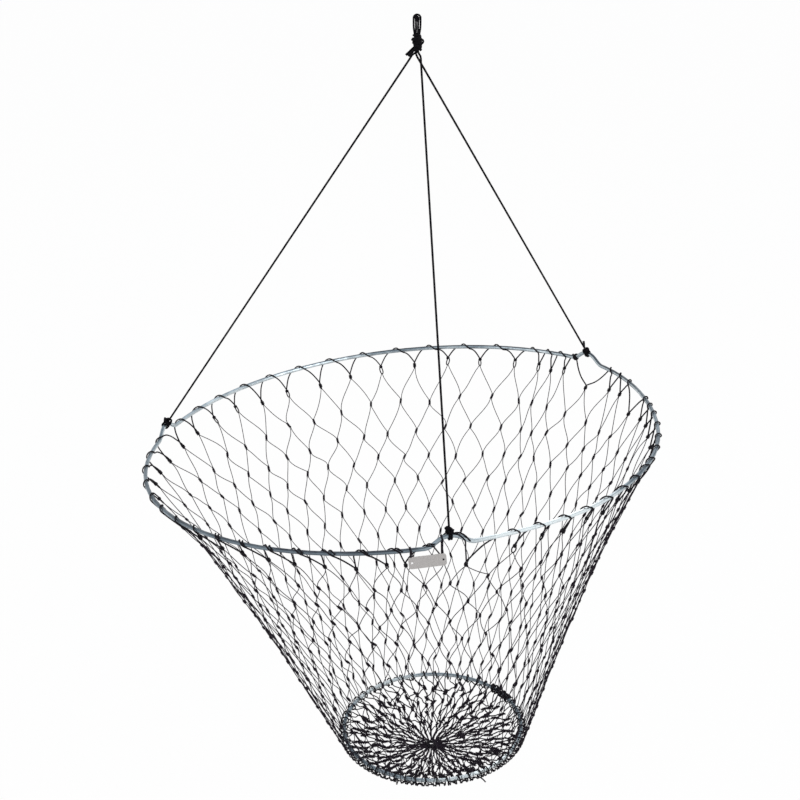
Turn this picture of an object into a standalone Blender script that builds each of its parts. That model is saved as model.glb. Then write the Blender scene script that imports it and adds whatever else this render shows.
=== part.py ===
"""Bridge net: a drop net of two steel hoops and knotted netting, hung from a three-leg cord bridle.

Metres, +Z up. The origin is the bearing point inside the top of the hanging loop, and the net
hangs below it. +X is to the right and +Y away from the front bridle leg. Azimuths run from +X
towards +Y.
"""

import math

import bmesh
import bpy
import numpy as np

# Upper hoop
UPPER_HOOP_DIAMETER = 0.8128
ROD_DIAMETER = 0.00635
HOOP_DROP = 0.6677
HOOP_OFFSET_X = -0.0155
UPPER_RISE_TO_RIGHT = math.radians(6.0)
UPPER_RISE_TO_FRONT = math.radians(5.7)
CREST_HEIGHT = 0.014
CREST_FLAT = 0.008
CREST_FLANK = 0.032
# The ring is bent by hand. Where it isn't round: the azimuth, how far round that reaches each way,
# and the change of radius.
OUT_OF_ROUND = (
    (math.radians(5), math.radians(45), -0.020),
    (math.radians(-52), math.radians(22), 0.008),
)

# Lower hoop
LOWER_HOOP_DIAMETER = 0.298
LOWER_HOOP_OFFSET_X = 0.0463
LOWER_RISE_TO_RIGHT = math.radians(1.5)
NET_DEPTH = 0.548

# Bridle
BRIDLE_CORD_DIAMETER = 0.003
LEG_NAMES = ("front", "right", "left")
LEG_AZIMUTHS = [math.radians(degrees) for degrees in (-81.4, 40.2, 163.0)]
KNOT_TOP_DROP = 0.0255
KNOT_HEIGHT = 0.0235
EYE_CLEARANCE = 0.0004
TAIL_LENGTH = 0.014
# Where each leg's strand and each cut end lies round the apex knot's axis, and the points that it
# passes below the knot's foot
STRAND_AZIMUTHS = [math.radians(degrees) for degrees in (-30, -150, 90)]
CUT_END_AZIMUTHS = [math.radians(degrees) for degrees in (-90, 30, 150)]
LEG_LEADS = (
    ((0.0052, -0.0035, -0.0555),),
    ((-0.0002, 0.0003, -0.0555),),
    ((-0.0005, 0.0045, -0.0512), (-0.0064, 0.0070, -0.0558)),
)
CUT_END_LEADS = (
    ((-0.0040, -0.0052, -0.0525), (-0.0118, -0.0070, -0.0605)),
    ((0.0048, 0.0022, -0.0520), (0.0068, 0.0022, -0.0545)),
    ((-0.0075, 0.0012, -0.0530), (-0.0150, 0.0005, -0.0600)),
)

# Netting and lacing
MESHES = 24
WALL_ROWS = 10
BOTTOM_ROWS = 3
NET_TWINE_DIAMETER = 0.0013
LACING_DIAMETER = 0.0018
END_KNOT_TURNS = 3
FIRST_HITCH_TURN = math.radians(9.7)
UPPER_LACING_START = 1
HEAD_DROP = 0.027
WALL_WAIST = 0.006
WALL_BELLY = 0.005
BOTTOM_SAG = 0.026
GATHER_RADIUS = 0.009
LOWER_LACING_START = 9

# Name plate
PLATE_OFFSET = 0.0336
PLATE_LENGTH = 0.0525
PLATE_HEIGHT = 0.019
PLATE_THICKNESS = 0.0008
PLATE_CORNER = 0.004
PLATE_HOLE_DIAMETER = 0.0036
PLATE_HOLE_INSET = 0.0045
PLATE_DROP = 0.019
PLATE_STANDOFF = 0.0022
TIE_DIAMETER = 0.0012

# Clearance between pieces that touch on the real net, and between neighbouring turns
SEAT_GAP = 0.0003
TURN_GAP = 0.0006

UP = np.array((0.0, 0.0, 1.0))
FULL_TURN = 2 * math.pi
ROD_RADIUS = ROD_DIAMETER / 2
CORD_RADIUS = BRIDLE_CORD_DIAMETER / 2
LACING_RADIUS = LACING_DIAMETER / 2
NET_TWINE_RADIUS = NET_TWINE_DIAMETER / 2
MESH_STEP = FULL_TURN / MESHES
END_KNOT_LENGTH = END_KNOT_TURNS * (LACING_DIAMETER + TURN_GAP)
WALL_LEAN = math.radians(20)


def unit(vector):
    return vector / np.linalg.norm(vector)


def turned(vector, axis, angle):
    """The vector turned about a unit axis by the right-hand rule."""
    across = np.cross(axis, vector)
    along = axis * (axis @ vector)
    return along + (vector - along) * math.cos(angle) + across * math.sin(angle)


def turn_between(azimuth, middle):
    """The signed turn from the second azimuth to the first, the short way round."""
    return (azimuth - middle + math.pi) % FULL_TURN - math.pi


class Hoop:
    """A ring of rod: its leaning plane, and the rod's centre line with a crest under each bridle leg."""

    def __init__(self, centre, diameter, rise_to_right, rise_to_front, crests=(), out_of_round=()):
        self.centre = np.array(centre)
        self.radius = diameter / 2
        self.normal = unit(np.array((-math.sin(rise_to_right), math.sin(rise_to_front), 1.0)))
        self.right = unit(np.array((1.0, 0.0, 0.0)) - self.normal * self.normal[0])
        self.back = np.cross(self.normal, self.right)
        self.crests = crests
        self.out_of_round = out_of_round

    def outward(self, azimuth):
        return math.cos(azimuth) * self.right + math.sin(azimuth) * self.back

    def reach(self, azimuth):
        """The ring's radius at this azimuth."""
        reach = self.radius
        for middle, span, change in self.out_of_round:
            share = min(abs(turn_between(azimuth, middle)) / span, 1.0)
            reach += change / 2 * (1 + math.cos(math.pi * share))
        return reach

    def crest(self, azimuth):
        """How far the rod is bent up at this azimuth."""
        height = 0.0
        for middle in self.crests:
            climb = (abs(turn_between(azimuth, middle)) * self.radius - CREST_FLAT / 2) / CREST_FLANK
            height += CREST_HEIGHT / 2 * (1 + math.cos(math.pi * min(max(climb, 0.0), 1.0)))
        return height

    def circle(self, azimuth, radius=None, lift=0.0):
        reach = self.reach(azimuth) if radius is None else radius
        return self.centre + reach * self.outward(azimuth) + lift * self.normal

    def rod(self, azimuth):
        return self.circle(azimuth, lift=self.crest(azimuth))

    def frame(self, azimuth):
        """The rod's centre there, with the directions outward, up and along the rod."""
        step = math.radians(0.05)
        along = unit(self.rod(azimuth + step) - self.rod(azimuth - step))
        outward = self.outward(azimuth)
        outward = unit(outward - along * (outward @ along))
        return self.rod(azimuth), outward, np.cross(outward, along), along

    def section(self, azimuth, angle, distance):
        """A point round the rod: angle 0 is on its outer side and 90 degrees is on top."""
        centre, outward, up, _ = self.frame(azimuth)
        return centre + distance * (math.cos(angle) * outward + math.sin(angle) * up)


# Strands in the apex knot: the legs lie three round one another, and the cut ends in the gaps outside them.
STRAND_STEP = BRIDLE_CORD_DIAMETER + SEAT_GAP
LEG_REACH = STRAND_STEP / 2 / math.cos(math.pi / 6)
TAIL_REACH = (LEG_REACH + math.sqrt(4 * STRAND_STEP**2 - 3 * LEG_REACH**2)) / 2

FRONT_LEG_AZIMUTH = LEG_AZIMUTHS[0]
UPPER = Hoop(
    (HOOP_OFFSET_X, 0.0, -HOOP_DROP),
    UPPER_HOOP_DIAMETER,
    UPPER_RISE_TO_RIGHT,
    UPPER_RISE_TO_FRONT,
    LEG_AZIMUTHS,
    OUT_OF_ROUND,
)
LOWER = Hoop(
    (HOOP_OFFSET_X + LOWER_HOOP_OFFSET_X, 0.0, -HOOP_DROP - NET_DEPTH),
    LOWER_HOOP_DIAMETER,
    LOWER_RISE_TO_RIGHT,
    0.0,
)

# The plate hangs left of the front crest, one tie on the plain rod and one on the crest's flank.
CREST_TURN = (CREST_FLAT / 2 + CREST_FLANK) / UPPER.radius
TIE_REACH = PLATE_LENGTH / 2 - PLATE_HOLE_INSET
TIE_TURN = TIE_REACH / UPPER.radius
PLATE_AZIMUTH = FRONT_LEG_AZIMUTH - PLATE_OFFSET / UPPER.radius
PLATE_TOP = UPPER.circle(PLATE_AZIMUTH)
PLATE_ALONG = unit(UPPER.circle(PLATE_AZIMUTH + TIE_TURN) - UPPER.circle(PLATE_AZIMUTH - TIE_TURN))
PLATE_DOWN = unit(-UP + PLATE_ALONG * (UP @ PLATE_ALONG))
PLATE_FACE = np.cross(PLATE_ALONG, -PLATE_DOWN)
PLATE_PIVOT = (UPPER.rod(PLATE_AZIMUTH - TIE_TURN) + UPPER.rod(PLATE_AZIMUTH + TIE_TURN)) / 2

BODY_ORIGINS = {
    "hanger": np.zeros(3),
    "hoop": UPPER.centre,
    "base": LOWER.centre,
    "tag": PLATE_PIVOT,
}


def clear_scene():
    for scene_object in list(bpy.data.objects):
        bpy.data.objects.remove(scene_object)


def finish(name, colour, roughness, metallic):
    material = bpy.data.materials.new(name)
    material.use_nodes = True
    shader = material.node_tree.nodes["Principled BSDF"]
    shader.inputs["Base Color"].default_value = (*colour, 1.0)
    shader.inputs["Roughness"].default_value = roughness
    shader.inputs["Metallic"].default_value = metallic
    return material


def body_empties():
    """One empty for each moving body, on its joint: the hoops slide up, the plate swings on the rod."""
    empties = {}
    parents = {"hanger": None, "hoop": "hanger", "base": "hoop", "tag": "hoop"}
    for body, parent in parents.items():
        empty = bpy.data.objects.new(f"{body}_frame", None)
        bpy.context.collection.objects.link(empty)
        if parent:
            empty.parent = empties[parent]
            empty.location = BODY_ORIGINS[body] - BODY_ORIGINS[parent]
        empties[body] = empty
    return empties


def add_piece(name, data, body, material):
    """Put a piece's curve or mesh, drawn about its body's origin, under the body's empty."""
    data.materials.append(material)
    piece = bpy.data.objects.new(name, data)
    bpy.context.collection.objects.link(piece)
    piece.parent = EMPTIES[body]
    return piece


def tube(name, points, diameter, body, material, closed=False, resolution=2):
    """A round rod, cord or twine along the points."""
    curve = bpy.data.curves.new(name, "CURVE")
    curve.dimensions = "3D"
    curve.bevel_depth = diameter / 2
    curve.bevel_resolution = resolution
    curve.use_fill_caps = not closed
    spline = curve.splines.new("POLY")
    spline.points.add(len(points) - 1)
    for spot, point in zip(spline.points, points):
        spot.co = (*(point - BODY_ORIGINS[body]), 1.0)
    spline.use_cyclic_u = closed
    return add_piece(name, curve, body, material)


def wrap_radius(core, wrapped, steps):
    """The radius of a turn whose straight steps clear the core it is wound on."""
    return (core + SEAT_GAP + wrapped) / math.cos(math.pi / steps)


def winding(frame_at, turns, pitch, radius, steps, start_angle=0.0):
    """Points of a helix round a line: frame_at gives the line's point and two directions across it."""
    count = round(turns * steps)
    points = []
    for step in range(count + 1):
        turn = step / steps
        centre, side, other = frame_at(pitch * (turn - turns / 2))
        angle = start_angle + FULL_TURN * turn
        points.append(centre + radius * (math.cos(angle) * side + math.sin(angle) * other))
    return points


def report_gap(name, points, diameter):
    """Measure and print the least gap between a wound tube's stretches that aren't neighbours."""
    points = np.array(points)
    fine = [points[:-1] + (points[1:] - points[:-1]) * share for share in (0.0, 0.25, 0.5, 0.75)]
    fine = np.stack(fine, axis=1).reshape(-1, 3)
    travelled = np.concatenate(([0.0], np.cumsum(np.linalg.norm(np.diff(fine, axis=0), axis=1))))
    gap = math.inf
    for spot, distance in zip(fine, travelled):
        apart = np.abs(travelled - distance) > 4 * diameter
        if apart.any():
            gap = min(gap, np.linalg.norm(fine[apart] - spot, axis=1).min() - diameter)
    print(f"{name}: least gap to itself {gap * 1000:.2f} mm")


def smooth_line(points, count):
    """Evenly shared points on a smooth curve through the given ones."""
    points = [2 * points[0] - points[1], *points, 2 * points[-1] - points[-2]]
    line = []
    for step in range(count):
        place = step / (count - 1) * (len(points) - 3)
        span = min(int(place), len(points) - 4)
        share = place - span
        before, first, second, after = points[span : span + 4]
        line.append(
            0.5
            * (
                2 * first
                + (second - before) * share
                + (2 * before - 5 * first + 4 * second - after) * share**2
                + (3 * first - before - 3 * second + after) * share**3
            )
        )
    return line


def make_upper_hoop():
    """The galvanised rod ring, with its three bent-up crests. Its line has a point at each hitch."""
    crest_steps = 18
    steps_per_mesh = 4
    azimuths = []
    for middle in LEG_AZIMUTHS:
        azimuths += [middle + CREST_TURN * (2 * step / crest_steps - 1) for step in range(crest_steps + 1)]
    for step in range(MESHES * steps_per_mesh):
        azimuth = mesh_azimuth(0.5 + step / steps_per_mesh)
        if all(abs(turn_between(azimuth, middle)) > CREST_TURN for middle in LEG_AZIMUTHS):
            azimuths.append(azimuth)
    azimuths.sort(key=lambda azimuth: azimuth % FULL_TURN)
    points = [UPPER.rod(azimuth) for azimuth in azimuths]
    tube("upper_hoop", points, ROD_DIAMETER, "hoop", STEEL, closed=True, resolution=3)


def make_lower_hoop():
    steps = 48
    points = [LOWER.rod(FULL_TURN * step / steps) for step in range(steps)]
    tube("lower_hoop", points, ROD_DIAMETER, "base", STEEL, closed=True, resolution=3)


def netting(name, rows, body):
    """Diamond netting: every row has a knot per mesh, each second row is set half a mesh along.

    A row holds each knot's centre, its direction along the row and its direction to the row before.
    Bars have a four-edged section, and meet in the knots' corners.
    """
    shape = bmesh.new()
    knots = []
    for row in rows:
        line = []
        for centre, across, back in row:
            outward = unit(np.cross(across, back))
            corners = {
                "out": outward,
                "in": -outward,
                "next": across * math.sqrt(2),
                "last": -across * math.sqrt(2),
                "back": back * math.sqrt(2),
                "on": -back * math.sqrt(2),
            }
            line.append(
                {
                    side: shape.verts.new(centre - BODY_ORIGINS[body] + NET_TWINE_RADIUS * reach)
                    for side, reach in corners.items()
                }
            )
        knots.append(line)
    for number in range(len(knots) - 1):
        for column, knot in enumerate(knots[number]):
            shift = number % 2
            after = knots[number + 1][(column + shift) % MESHES]
            before = knots[number + 1][(column + shift - 1) % MESHES]
            for side, turn in (("out", 1), ("in", -1)):
                for corners in (
                    (knot[side], knot["next"], after["back"], after[side])[::-turn],
                    (knot[side], after[side], after["last"], knot["on"])[::-turn],
                    (knot[side], before[side], before["back"], knot["last"])[::-turn],
                    (knot[side], knot["on"], before["next"], before[side])[::-turn],
                ):
                    shape.faces.new(corners)
    for line, end in ((knots[0], "back"), (knots[-1], "on")):
        for knot in line:
            for side, turn in (("out", 1), ("in", -1)):
                if end == "on":
                    turn = -turn
                shape.faces.new((knot[side], knot["last"], knot[end])[::-turn])
                shape.faces.new((knot[side], knot[end], knot["next"])[::-turn])
    mesh = bpy.data.meshes.new(name)
    shape.to_mesh(mesh)
    shape.free()
    add_piece(name, mesh, body, NET_TWINE)


def mesh_azimuth(column, row=0):
    """The azimuth of a mesh's knot. A hitch is half a mesh from each head, which puts it off the crests."""
    return FRONT_LEG_AZIMUTH + FIRST_HITCH_TURN + MESH_STEP * (column - 0.5 + 0.5 * (row % 2))


def wall_point(azimuth, share):
    """A point of the net's wall, from the upper rod at 0 to the outer side of the lower rod at 1."""
    top = UPPER.circle(azimuth)
    foot = LOWER.section(azimuth, math.radians(-10), ROD_RADIUS + SEAT_GAP + NET_TWINE_RADIUS)
    inward = -LOWER.outward(azimuth)
    bow = WALL_WAIST * math.sin(math.pi * share) + WALL_BELLY * math.sin(FULL_TURN * share)
    return top + (foot - top) * share + inward * bow


def wall_knot(azimuth, share):
    step = 0.002
    across = unit(wall_point(azimuth + step, share) - wall_point(azimuth - step, share))
    back = unit(wall_point(azimuth, share - step) - wall_point(azimuth, share + step))
    return wall_point(azimuth, share), across, back


def head_share(azimuth):
    """How far down the wall the head knots hang."""
    return HEAD_DROP / np.linalg.norm(wall_point(azimuth, 1.0) - wall_point(azimuth, 0.0))


def make_net_wall():
    rows = []
    for row in range(WALL_ROWS + 1):
        line = []
        for column in range(MESHES):
            azimuth = mesh_azimuth(column, row)
            head = head_share(azimuth)
            line.append(wall_knot(azimuth, head + (1 - head) * row / WALL_ROWS))
        rows.append(line)
    netting("net_wall", rows, "hoop")


def bottom_point(azimuth, share):
    """A point of the dished bottom, from under the lower rod at 0 to the gathered middle at 1."""
    rim = LOWER.section(azimuth, math.radians(-75), ROD_RADIUS + SEAT_GAP + NET_TWINE_RADIUS)
    rim_radius = (rim - LOWER.centre) @ LOWER.outward(azimuth)
    rim_lift = (rim - LOWER.centre) @ LOWER.normal
    radius = rim_radius + (GATHER_RADIUS - rim_radius) * share
    dish = BOTTOM_SAG * (1 - (radius / rim_radius) ** 2)
    return LOWER.circle(azimuth, radius, rim_lift - dish)


def make_net_bottom():
    rows = []
    step = 0.002
    for row in range(BOTTOM_ROWS + 1):
        share = row / BOTTOM_ROWS
        line = []
        for column in range(MESHES):
            azimuth = mesh_azimuth(column, row)
            back = unit(bottom_point(azimuth, share - step) - bottom_point(azimuth, share + step))
            across = np.cross(LOWER.normal, LOWER.outward(azimuth))
            line.append((bottom_point(azimuth, share), across, back))
        rows.append(line)
    netting("net_bottom", rows, "base")


def make_gather_knot():
    """The twine that closes the bottom: a flat spiral inside the last meshes, its end hanging down."""
    steps = 12
    pitch = LACING_DIAMETER + TURN_GAP
    outer = GATHER_RADIUS - NET_TWINE_DIAMETER - SEAT_GAP - LACING_RADIUS
    turns = (outer - pitch) / pitch
    lift = (bottom_point(0.0, 1.0) - LOWER.centre) @ LOWER.normal
    points = []
    for step in range(round(turns * steps) + 1):
        azimuth = FULL_TURN * step / steps
        points.append(LOWER.circle(azimuth, outer - pitch * step / steps, lift))
    inner = points[-1]
    for drop in (0.4, 1.2, 3.0, 6.0):
        points.append(
            LOWER.centre
            + (inner - LOWER.centre) * max(0.0, 1 - drop / 3)
            + LOWER.normal * (lift * min(1.0, drop / 3) - drop * LACING_DIAMETER)
        )
    report_gap("gather_knot", points, LACING_DIAMETER)
    tube("gather_knot", points, LACING_DIAMETER, "base", LACING, resolution=1)


def end_knot_azimuth():
    """Where the upper lacing is made fast, just before its first hitch."""
    return mesh_azimuth(UPPER_LACING_START + 0.5) - 2 * END_KNOT_LENGTH / UPPER.radius


def make_upper_lacing():
    """One twine: over the rod between two heads, down outside and through the mesh under a head knot,
    and up inside to the rod again."""
    steps_round = 8
    radius = wrap_radius(ROD_RADIUS, LACING_RADIUS, steps_round)
    hook = NET_TWINE_RADIUS * math.sqrt(2) + SEAT_GAP + LACING_RADIUS
    points = []
    for column in range(UPPER_LACING_START, UPPER_LACING_START + MESHES):
        hitch = mesh_azimuth(column + 0.5)
        for eighth in (4, 3, 2, 1, 0):
            angle = eighth * FULL_TURN / steps_round - WALL_LEAN
            points.append(UPPER.section(hitch, angle, radius))
        head_azimuth = mesh_azimuth(column + 1)
        head, across, back = wall_knot(head_azimuth, head_share(head_azimuth))
        outward = unit(np.cross(across, back))
        points.append(head + outward * hook)
        points.append(head - back * 2 * hook)
        points.append(head - outward * hook)
    points.append(UPPER.section(end_knot_azimuth() - END_KNOT_LENGTH / UPPER.radius, math.pi, radius))
    report_gap("upper_lacing", points, LACING_DIAMETER)
    tube("upper_lacing", points, LACING_DIAMETER, "hoop", LACING, resolution=1)


def make_lower_lacing():
    """One twine wound round the lower rod and the netting's fold, crossing outside each foot knot."""
    steps_round = 6
    core = ROD_RADIUS + 2 * SEAT_GAP + NET_TWINE_DIAMETER
    radius = wrap_radius(core, LACING_RADIUS, steps_round)
    points = []
    for step in range(MESHES * steps_round - steps_round // 2):
        column, part = divmod(step, steps_round)
        angle = math.pi - FULL_TURN * part / steps_round
        azimuth = mesh_azimuth(LOWER_LACING_START + column) - MESH_STEP / 2 * math.sin(angle / 2)
        points.append(LOWER.section(azimuth, angle, radius))
    report_gap("lower_lacing", points, LACING_DIAMETER)
    tube("lower_lacing", points, LACING_DIAMETER, "base", LACING, resolution=1)


def make_end_knot(name, hoop, azimuth, body):
    """A lacing's end, made fast with close turns round the rod, its cut end standing off."""
    steps = 10

    def along_rod(distance):
        return hoop.frame(azimuth + distance / hoop.radius)[:3]

    radius = wrap_radius(ROD_RADIUS, LACING_RADIUS, steps)
    points = winding(along_rod, END_KNOT_TURNS, LACING_DIAMETER + TURN_GAP, radius, steps)
    away = UP * 0.5 + hoop.outward(azimuth) * 0.3
    points += [points[-1] + away * LACING_DIAMETER * reach for reach in (1, 3, 5)]
    report_gap(name, points, LACING_DIAMETER)
    tube(name, points, LACING_DIAMETER, body, LACING, resolution=1)


def make_hanging_loop():
    """The three cords' bights side by side: one outer, and two inner ones that leave a narrow eye."""
    spread = CORD_RADIUS + SEAT_GAP / 2
    inner = CORD_RADIUS + EYE_CLEARANCE
    outer = inner + 2 * spread * math.cos(math.radians(28))
    packed = 2 * CORD_RADIUS + SEAT_GAP
    centre_drop = EYE_CLEARANCE
    lowest = -KNOT_TOP_DROP - KNOT_HEIGHT / 2
    arc_steps = 8
    places = (
        ("front", inner, -spread, packed * math.cos(math.pi / 3), -packed * math.sin(math.pi / 3)),
        ("right", outer, 0.0, packed, 0.0),
        ("left", inner, spread, packed * math.cos(math.pi / 3), packed * math.sin(math.pi / 3)),
    )
    for name, radius, depth, knot_half, knot_depth in places:
        foot = [
            np.array((knot_half, knot_depth, lowest)),
            np.array((knot_half, knot_depth, -KNOT_TOP_DROP)),
            np.array((radius, depth, -KNOT_TOP_DROP * 0.45)),
            np.array((radius, depth, -centre_drop)),
        ]
        side = smooth_line(foot, 7)
        arc = []
        for step in range(1, arc_steps):
            angle = math.pi * step / arc_steps
            arc.append(
                np.array((radius * math.cos(angle), depth, radius * math.sin(angle) - centre_drop))
            )
        mirrored = [point * (-1, 1, 1) for point in side[::-1]]
        tube(f"bight_{name}", side + arc + mirrored, BRIDLE_CORD_DIAMETER, "hanger", CORD)


def make_apex_knot():
    """The cords' knot, drawn tight: close turns round the strands, and the three cut ends from its foot."""
    steps = 12
    radius = wrap_radius(TAIL_REACH + CORD_RADIUS, CORD_RADIUS, steps)
    pitch = BRIDLE_CORD_DIAMETER + TURN_GAP
    turns = round((KNOT_HEIGHT - BRIDLE_CORD_DIAMETER) / pitch * steps) / steps
    middle = -KNOT_TOP_DROP - KNOT_HEIGHT / 2

    def upright(distance):
        return np.array((0.0, 0.0, middle - distance)), np.array((1.0, 0.0, 0.0)), np.array((0.0, 1.0, 0.0))

    points = winding(upright, turns, pitch, radius, steps, start_angle=math.pi - FULL_TURN * turns)
    report_gap("apex_knot", points, BRIDLE_CORD_DIAMETER)
    tube("apex_knot", points, BRIDLE_CORD_DIAMETER, "hanger", CORD, resolution=1)
    for name, azimuth, leads in zip(LEG_NAMES, CUT_END_AZIMUTHS, CUT_END_LEADS):
        beside = TAIL_REACH * np.array((math.cos(azimuth), math.sin(azimuth), 0.0))
        foot = beside - UP * (KNOT_TOP_DROP + KNOT_HEIGHT)
        points = [beside + UP * (middle - SEAT_GAP)] + smooth_line([foot, *np.array(leads)], 5)
        tube(f"apex_tail_{name}", points, BRIDLE_CORD_DIAMETER, "hanger", CORD)


TURN_STEPS = 10


def leg_line(azimuth):
    """A bridle leg's end above the crest's turns, and its direction up to the apex knot."""
    crest = UPPER.rod(azimuth)
    exit_point = np.array((0.0, 0.0, -KNOT_TOP_DROP - KNOT_HEIGHT))
    rise = unit(exit_point - crest)
    turn_outer = wrap_radius(ROD_RADIUS, CORD_RADIUS, TURN_STEPS) + CORD_RADIUS
    return crest + rise * (turn_outer + SEAT_GAP), rise


def make_bridle_leg(name, azimuth, strand_azimuth, leads):
    """One taut leg, from inside the apex knot to the turns on the rod."""
    end, _ = leg_line(azimuth)
    beside = LEG_REACH * np.array((math.cos(strand_azimuth), math.sin(strand_azimuth), 0.0))
    top = beside - UP * (KNOT_TOP_DROP + KNOT_HEIGHT / 2 + SEAT_GAP)
    foot = beside - UP * (KNOT_TOP_DROP + KNOT_HEIGHT)
    leads = list(np.array(leads))
    start = leads[-1] + unit(end - leads[-1]) * 0.010
    straight_steps = 12
    points = [top] + smooth_line([foot, *leads, start], 4 * len(leads) + 1)
    points += [start + (end - start) * (step + 1) / straight_steps for step in range(straight_steps)]
    tube(f"bridle_leg_{name}", points, BRIDLE_CORD_DIAMETER, "hanger", CORD)
    length = np.linalg.norm(np.diff(np.array(points), axis=0), axis=1).sum()
    print(f"bridle_leg_{name}: {length:.3f} m")


def make_bridle_hitch(name, azimuth, tail):
    """A leg's round turns on the rod, and the half hitches of its end round the leg above them."""
    pitch = BRIDLE_CORD_DIAMETER + TURN_GAP
    radius = wrap_radius(ROD_RADIUS, CORD_RADIUS, TURN_STEPS)

    def along_rod(distance):
        return UPPER.frame(azimuth + distance / UPPER.radius)[:3]

    points = winding(along_rod, 2.5, pitch, radius, TURN_STEPS, start_angle=-math.pi / 2)
    report_gap(f"round_turn_{name}", points, BRIDLE_CORD_DIAMETER)
    tube(f"round_turn_{name}", points, BRIDLE_CORD_DIAMETER, "hoop", CORD, resolution=1)

    end, rise = leg_line(azimuth)
    side = unit(np.cross(rise, UPPER.outward(azimuth)))
    other = np.cross(rise, side)
    radius = wrap_radius(CORD_RADIUS, CORD_RADIUS, TURN_STEPS)
    turns = 1.8
    middle = end + rise * (CORD_RADIUS + SEAT_GAP + pitch * turns / 2)

    def along_leg(distance):
        return middle + rise * distance, side, other

    points = winding(along_leg, turns, pitch, radius, TURN_STEPS)
    away = unit(points[-1] - middle - rise * (pitch * turns / 2))
    lead = unit(points[-1] - points[-2])
    direction = unit(side * tail[0] + UPPER.outward(azimuth) * tail[1] + UP * tail[2] + away)
    bend = points[-1] + unit(lead + away) * BRIDLE_CORD_DIAMETER
    points += [bend, bend + direction * TAIL_LENGTH * 0.4, bend + direction * TAIL_LENGTH * 0.8]
    report_gap(f"half_hitch_{name}", points, BRIDLE_CORD_DIAMETER)
    tube(f"half_hitch_{name}", points, BRIDLE_CORD_DIAMETER, "hoop", CORD, resolution=1)


def make_plate():
    """The blank name plate: a flat strip with rounded ends and a tie hole near each."""
    curve = bpy.data.curves.new("name_plate", "CURVE")
    curve.dimensions = "2D"
    curve.fill_mode = "BOTH"
    curve.extrude = PLATE_THICKNESS / 2
    outline = []
    corner_steps = 5
    for number, (right, top) in enumerate(((1, 1), (-1, 1), (-1, -1), (1, -1))):
        for step in range(corner_steps):
            angle = math.pi / 2 * (number + step / (corner_steps - 1))
            outline.append(
                (
                    right * (PLATE_LENGTH / 2 - PLATE_CORNER) + PLATE_CORNER * math.cos(angle),
                    top * (PLATE_HEIGHT / 2 - PLATE_CORNER) + PLATE_CORNER * math.sin(angle),
                )
            )
    rings = [outline]
    hole_steps = 14
    for side in (-1, 1):
        rings.append(
            [
                (
                    side * TIE_REACH + PLATE_HOLE_DIAMETER / 2 * math.cos(FULL_TURN * step / hole_steps),
                    PLATE_HOLE_DIAMETER / 2 * math.sin(FULL_TURN * step / hole_steps),
                )
                for step in range(hole_steps)
            ]
        )
    for ring in rings:
        spline = curve.splines.new("POLY")
        spline.points.add(len(ring) - 1)
        for spot, (across, up) in zip(spline.points, ring):
            spot.co = (across, up, 0.0, 1.0)
        spline.use_cyclic_u = True
    plate = add_piece("name_plate", curve, "tag", PLATE_METAL)
    axes = np.array((PLATE_ALONG, -PLATE_DOWN, PLATE_FACE))
    plate.location = PLATE_TOP - PLATE_PIVOT + PLATE_DOWN * PLATE_DROP + PLATE_FACE * PLATE_STANDOFF
    plate.rotation_mode = "QUATERNION"
    plate.rotation_quaternion = rotation_from(axes)


def rotation_from(axes):
    """The quaternion that turns X, Y and Z onto three square directions."""
    x_axis, y_axis, z_axis = axes
    trace = x_axis[0] + y_axis[1] + z_axis[2]
    w = math.sqrt(1 + trace) / 2
    return (
        w,
        (y_axis[2] - z_axis[1]) / (4 * w),
        (z_axis[0] - x_axis[2]) / (4 * w),
        (x_axis[1] - y_axis[0]) / (4 * w),
    )


def make_plate_tie(name, side):
    """A ring of twine over the rod and through the plate's hole."""
    radius = ROD_RADIUS + 3 * SEAT_GAP + TIE_DIAMETER
    rod = UPPER.rod(PLATE_AZIMUTH + side * TIE_TURN)
    above_plate = PLATE_TOP + PLATE_ALONG * side * TIE_REACH
    centre = rod + PLATE_ALONG * ((above_plate - rod) @ PLATE_ALONG)
    drop = PLATE_DROP + (above_plate - centre) @ PLATE_DOWN
    standoff = PLATE_STANDOFF + (above_plate - centre) @ PLATE_FACE
    face_reach = PLATE_THICKNESS / 2 + TIE_DIAMETER / 2 + SEAT_GAP
    outline = []
    for step in range(7):
        angle = math.pi * step / 6
        outline.append((radius * math.cos(angle), -radius * math.sin(angle)))
    through = [
        (face_reach * 1.5, drop - PLATE_HEIGHT / 3),
        (face_reach, drop - PLATE_HOLE_DIAMETER / 2),
        (face_reach * 0.55, drop - TIE_DIAMETER / 2),
    ]
    outline.append((-radius * 0.8, radius * 0.8))
    outline += [(standoff - out, down) for out, down in through]
    outline.append((standoff, drop - TIE_DIAMETER / 3))
    outline += [(standoff + out, down) for out, down in through[::-1]]
    outline.append((radius * 0.8, radius * 0.8))
    points = [centre + PLATE_FACE * out + PLATE_DOWN * down for out, down in outline]
    tube(f"plate_tie_{name}", points, TIE_DIAMETER, "tag", NET_TWINE, closed=True, resolution=1)


clear_scene()
EMPTIES = body_empties()
STEEL = finish("galvanised_steel", (0.42, 0.49, 0.53), 0.35, 0.9)
CORD = finish("black_braided_cord", (0.02, 0.02, 0.023), 0.75, 0.0)
NET_TWINE = finish("net_twine", (0.03, 0.028, 0.033), 0.8, 0.0)
LACING = finish("lacing_twine", (0.035, 0.033, 0.038), 0.8, 0.0)
PLATE_METAL = finish("plate_metal", (0.62, 0.62, 0.63), 0.45, 0.6)

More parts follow.
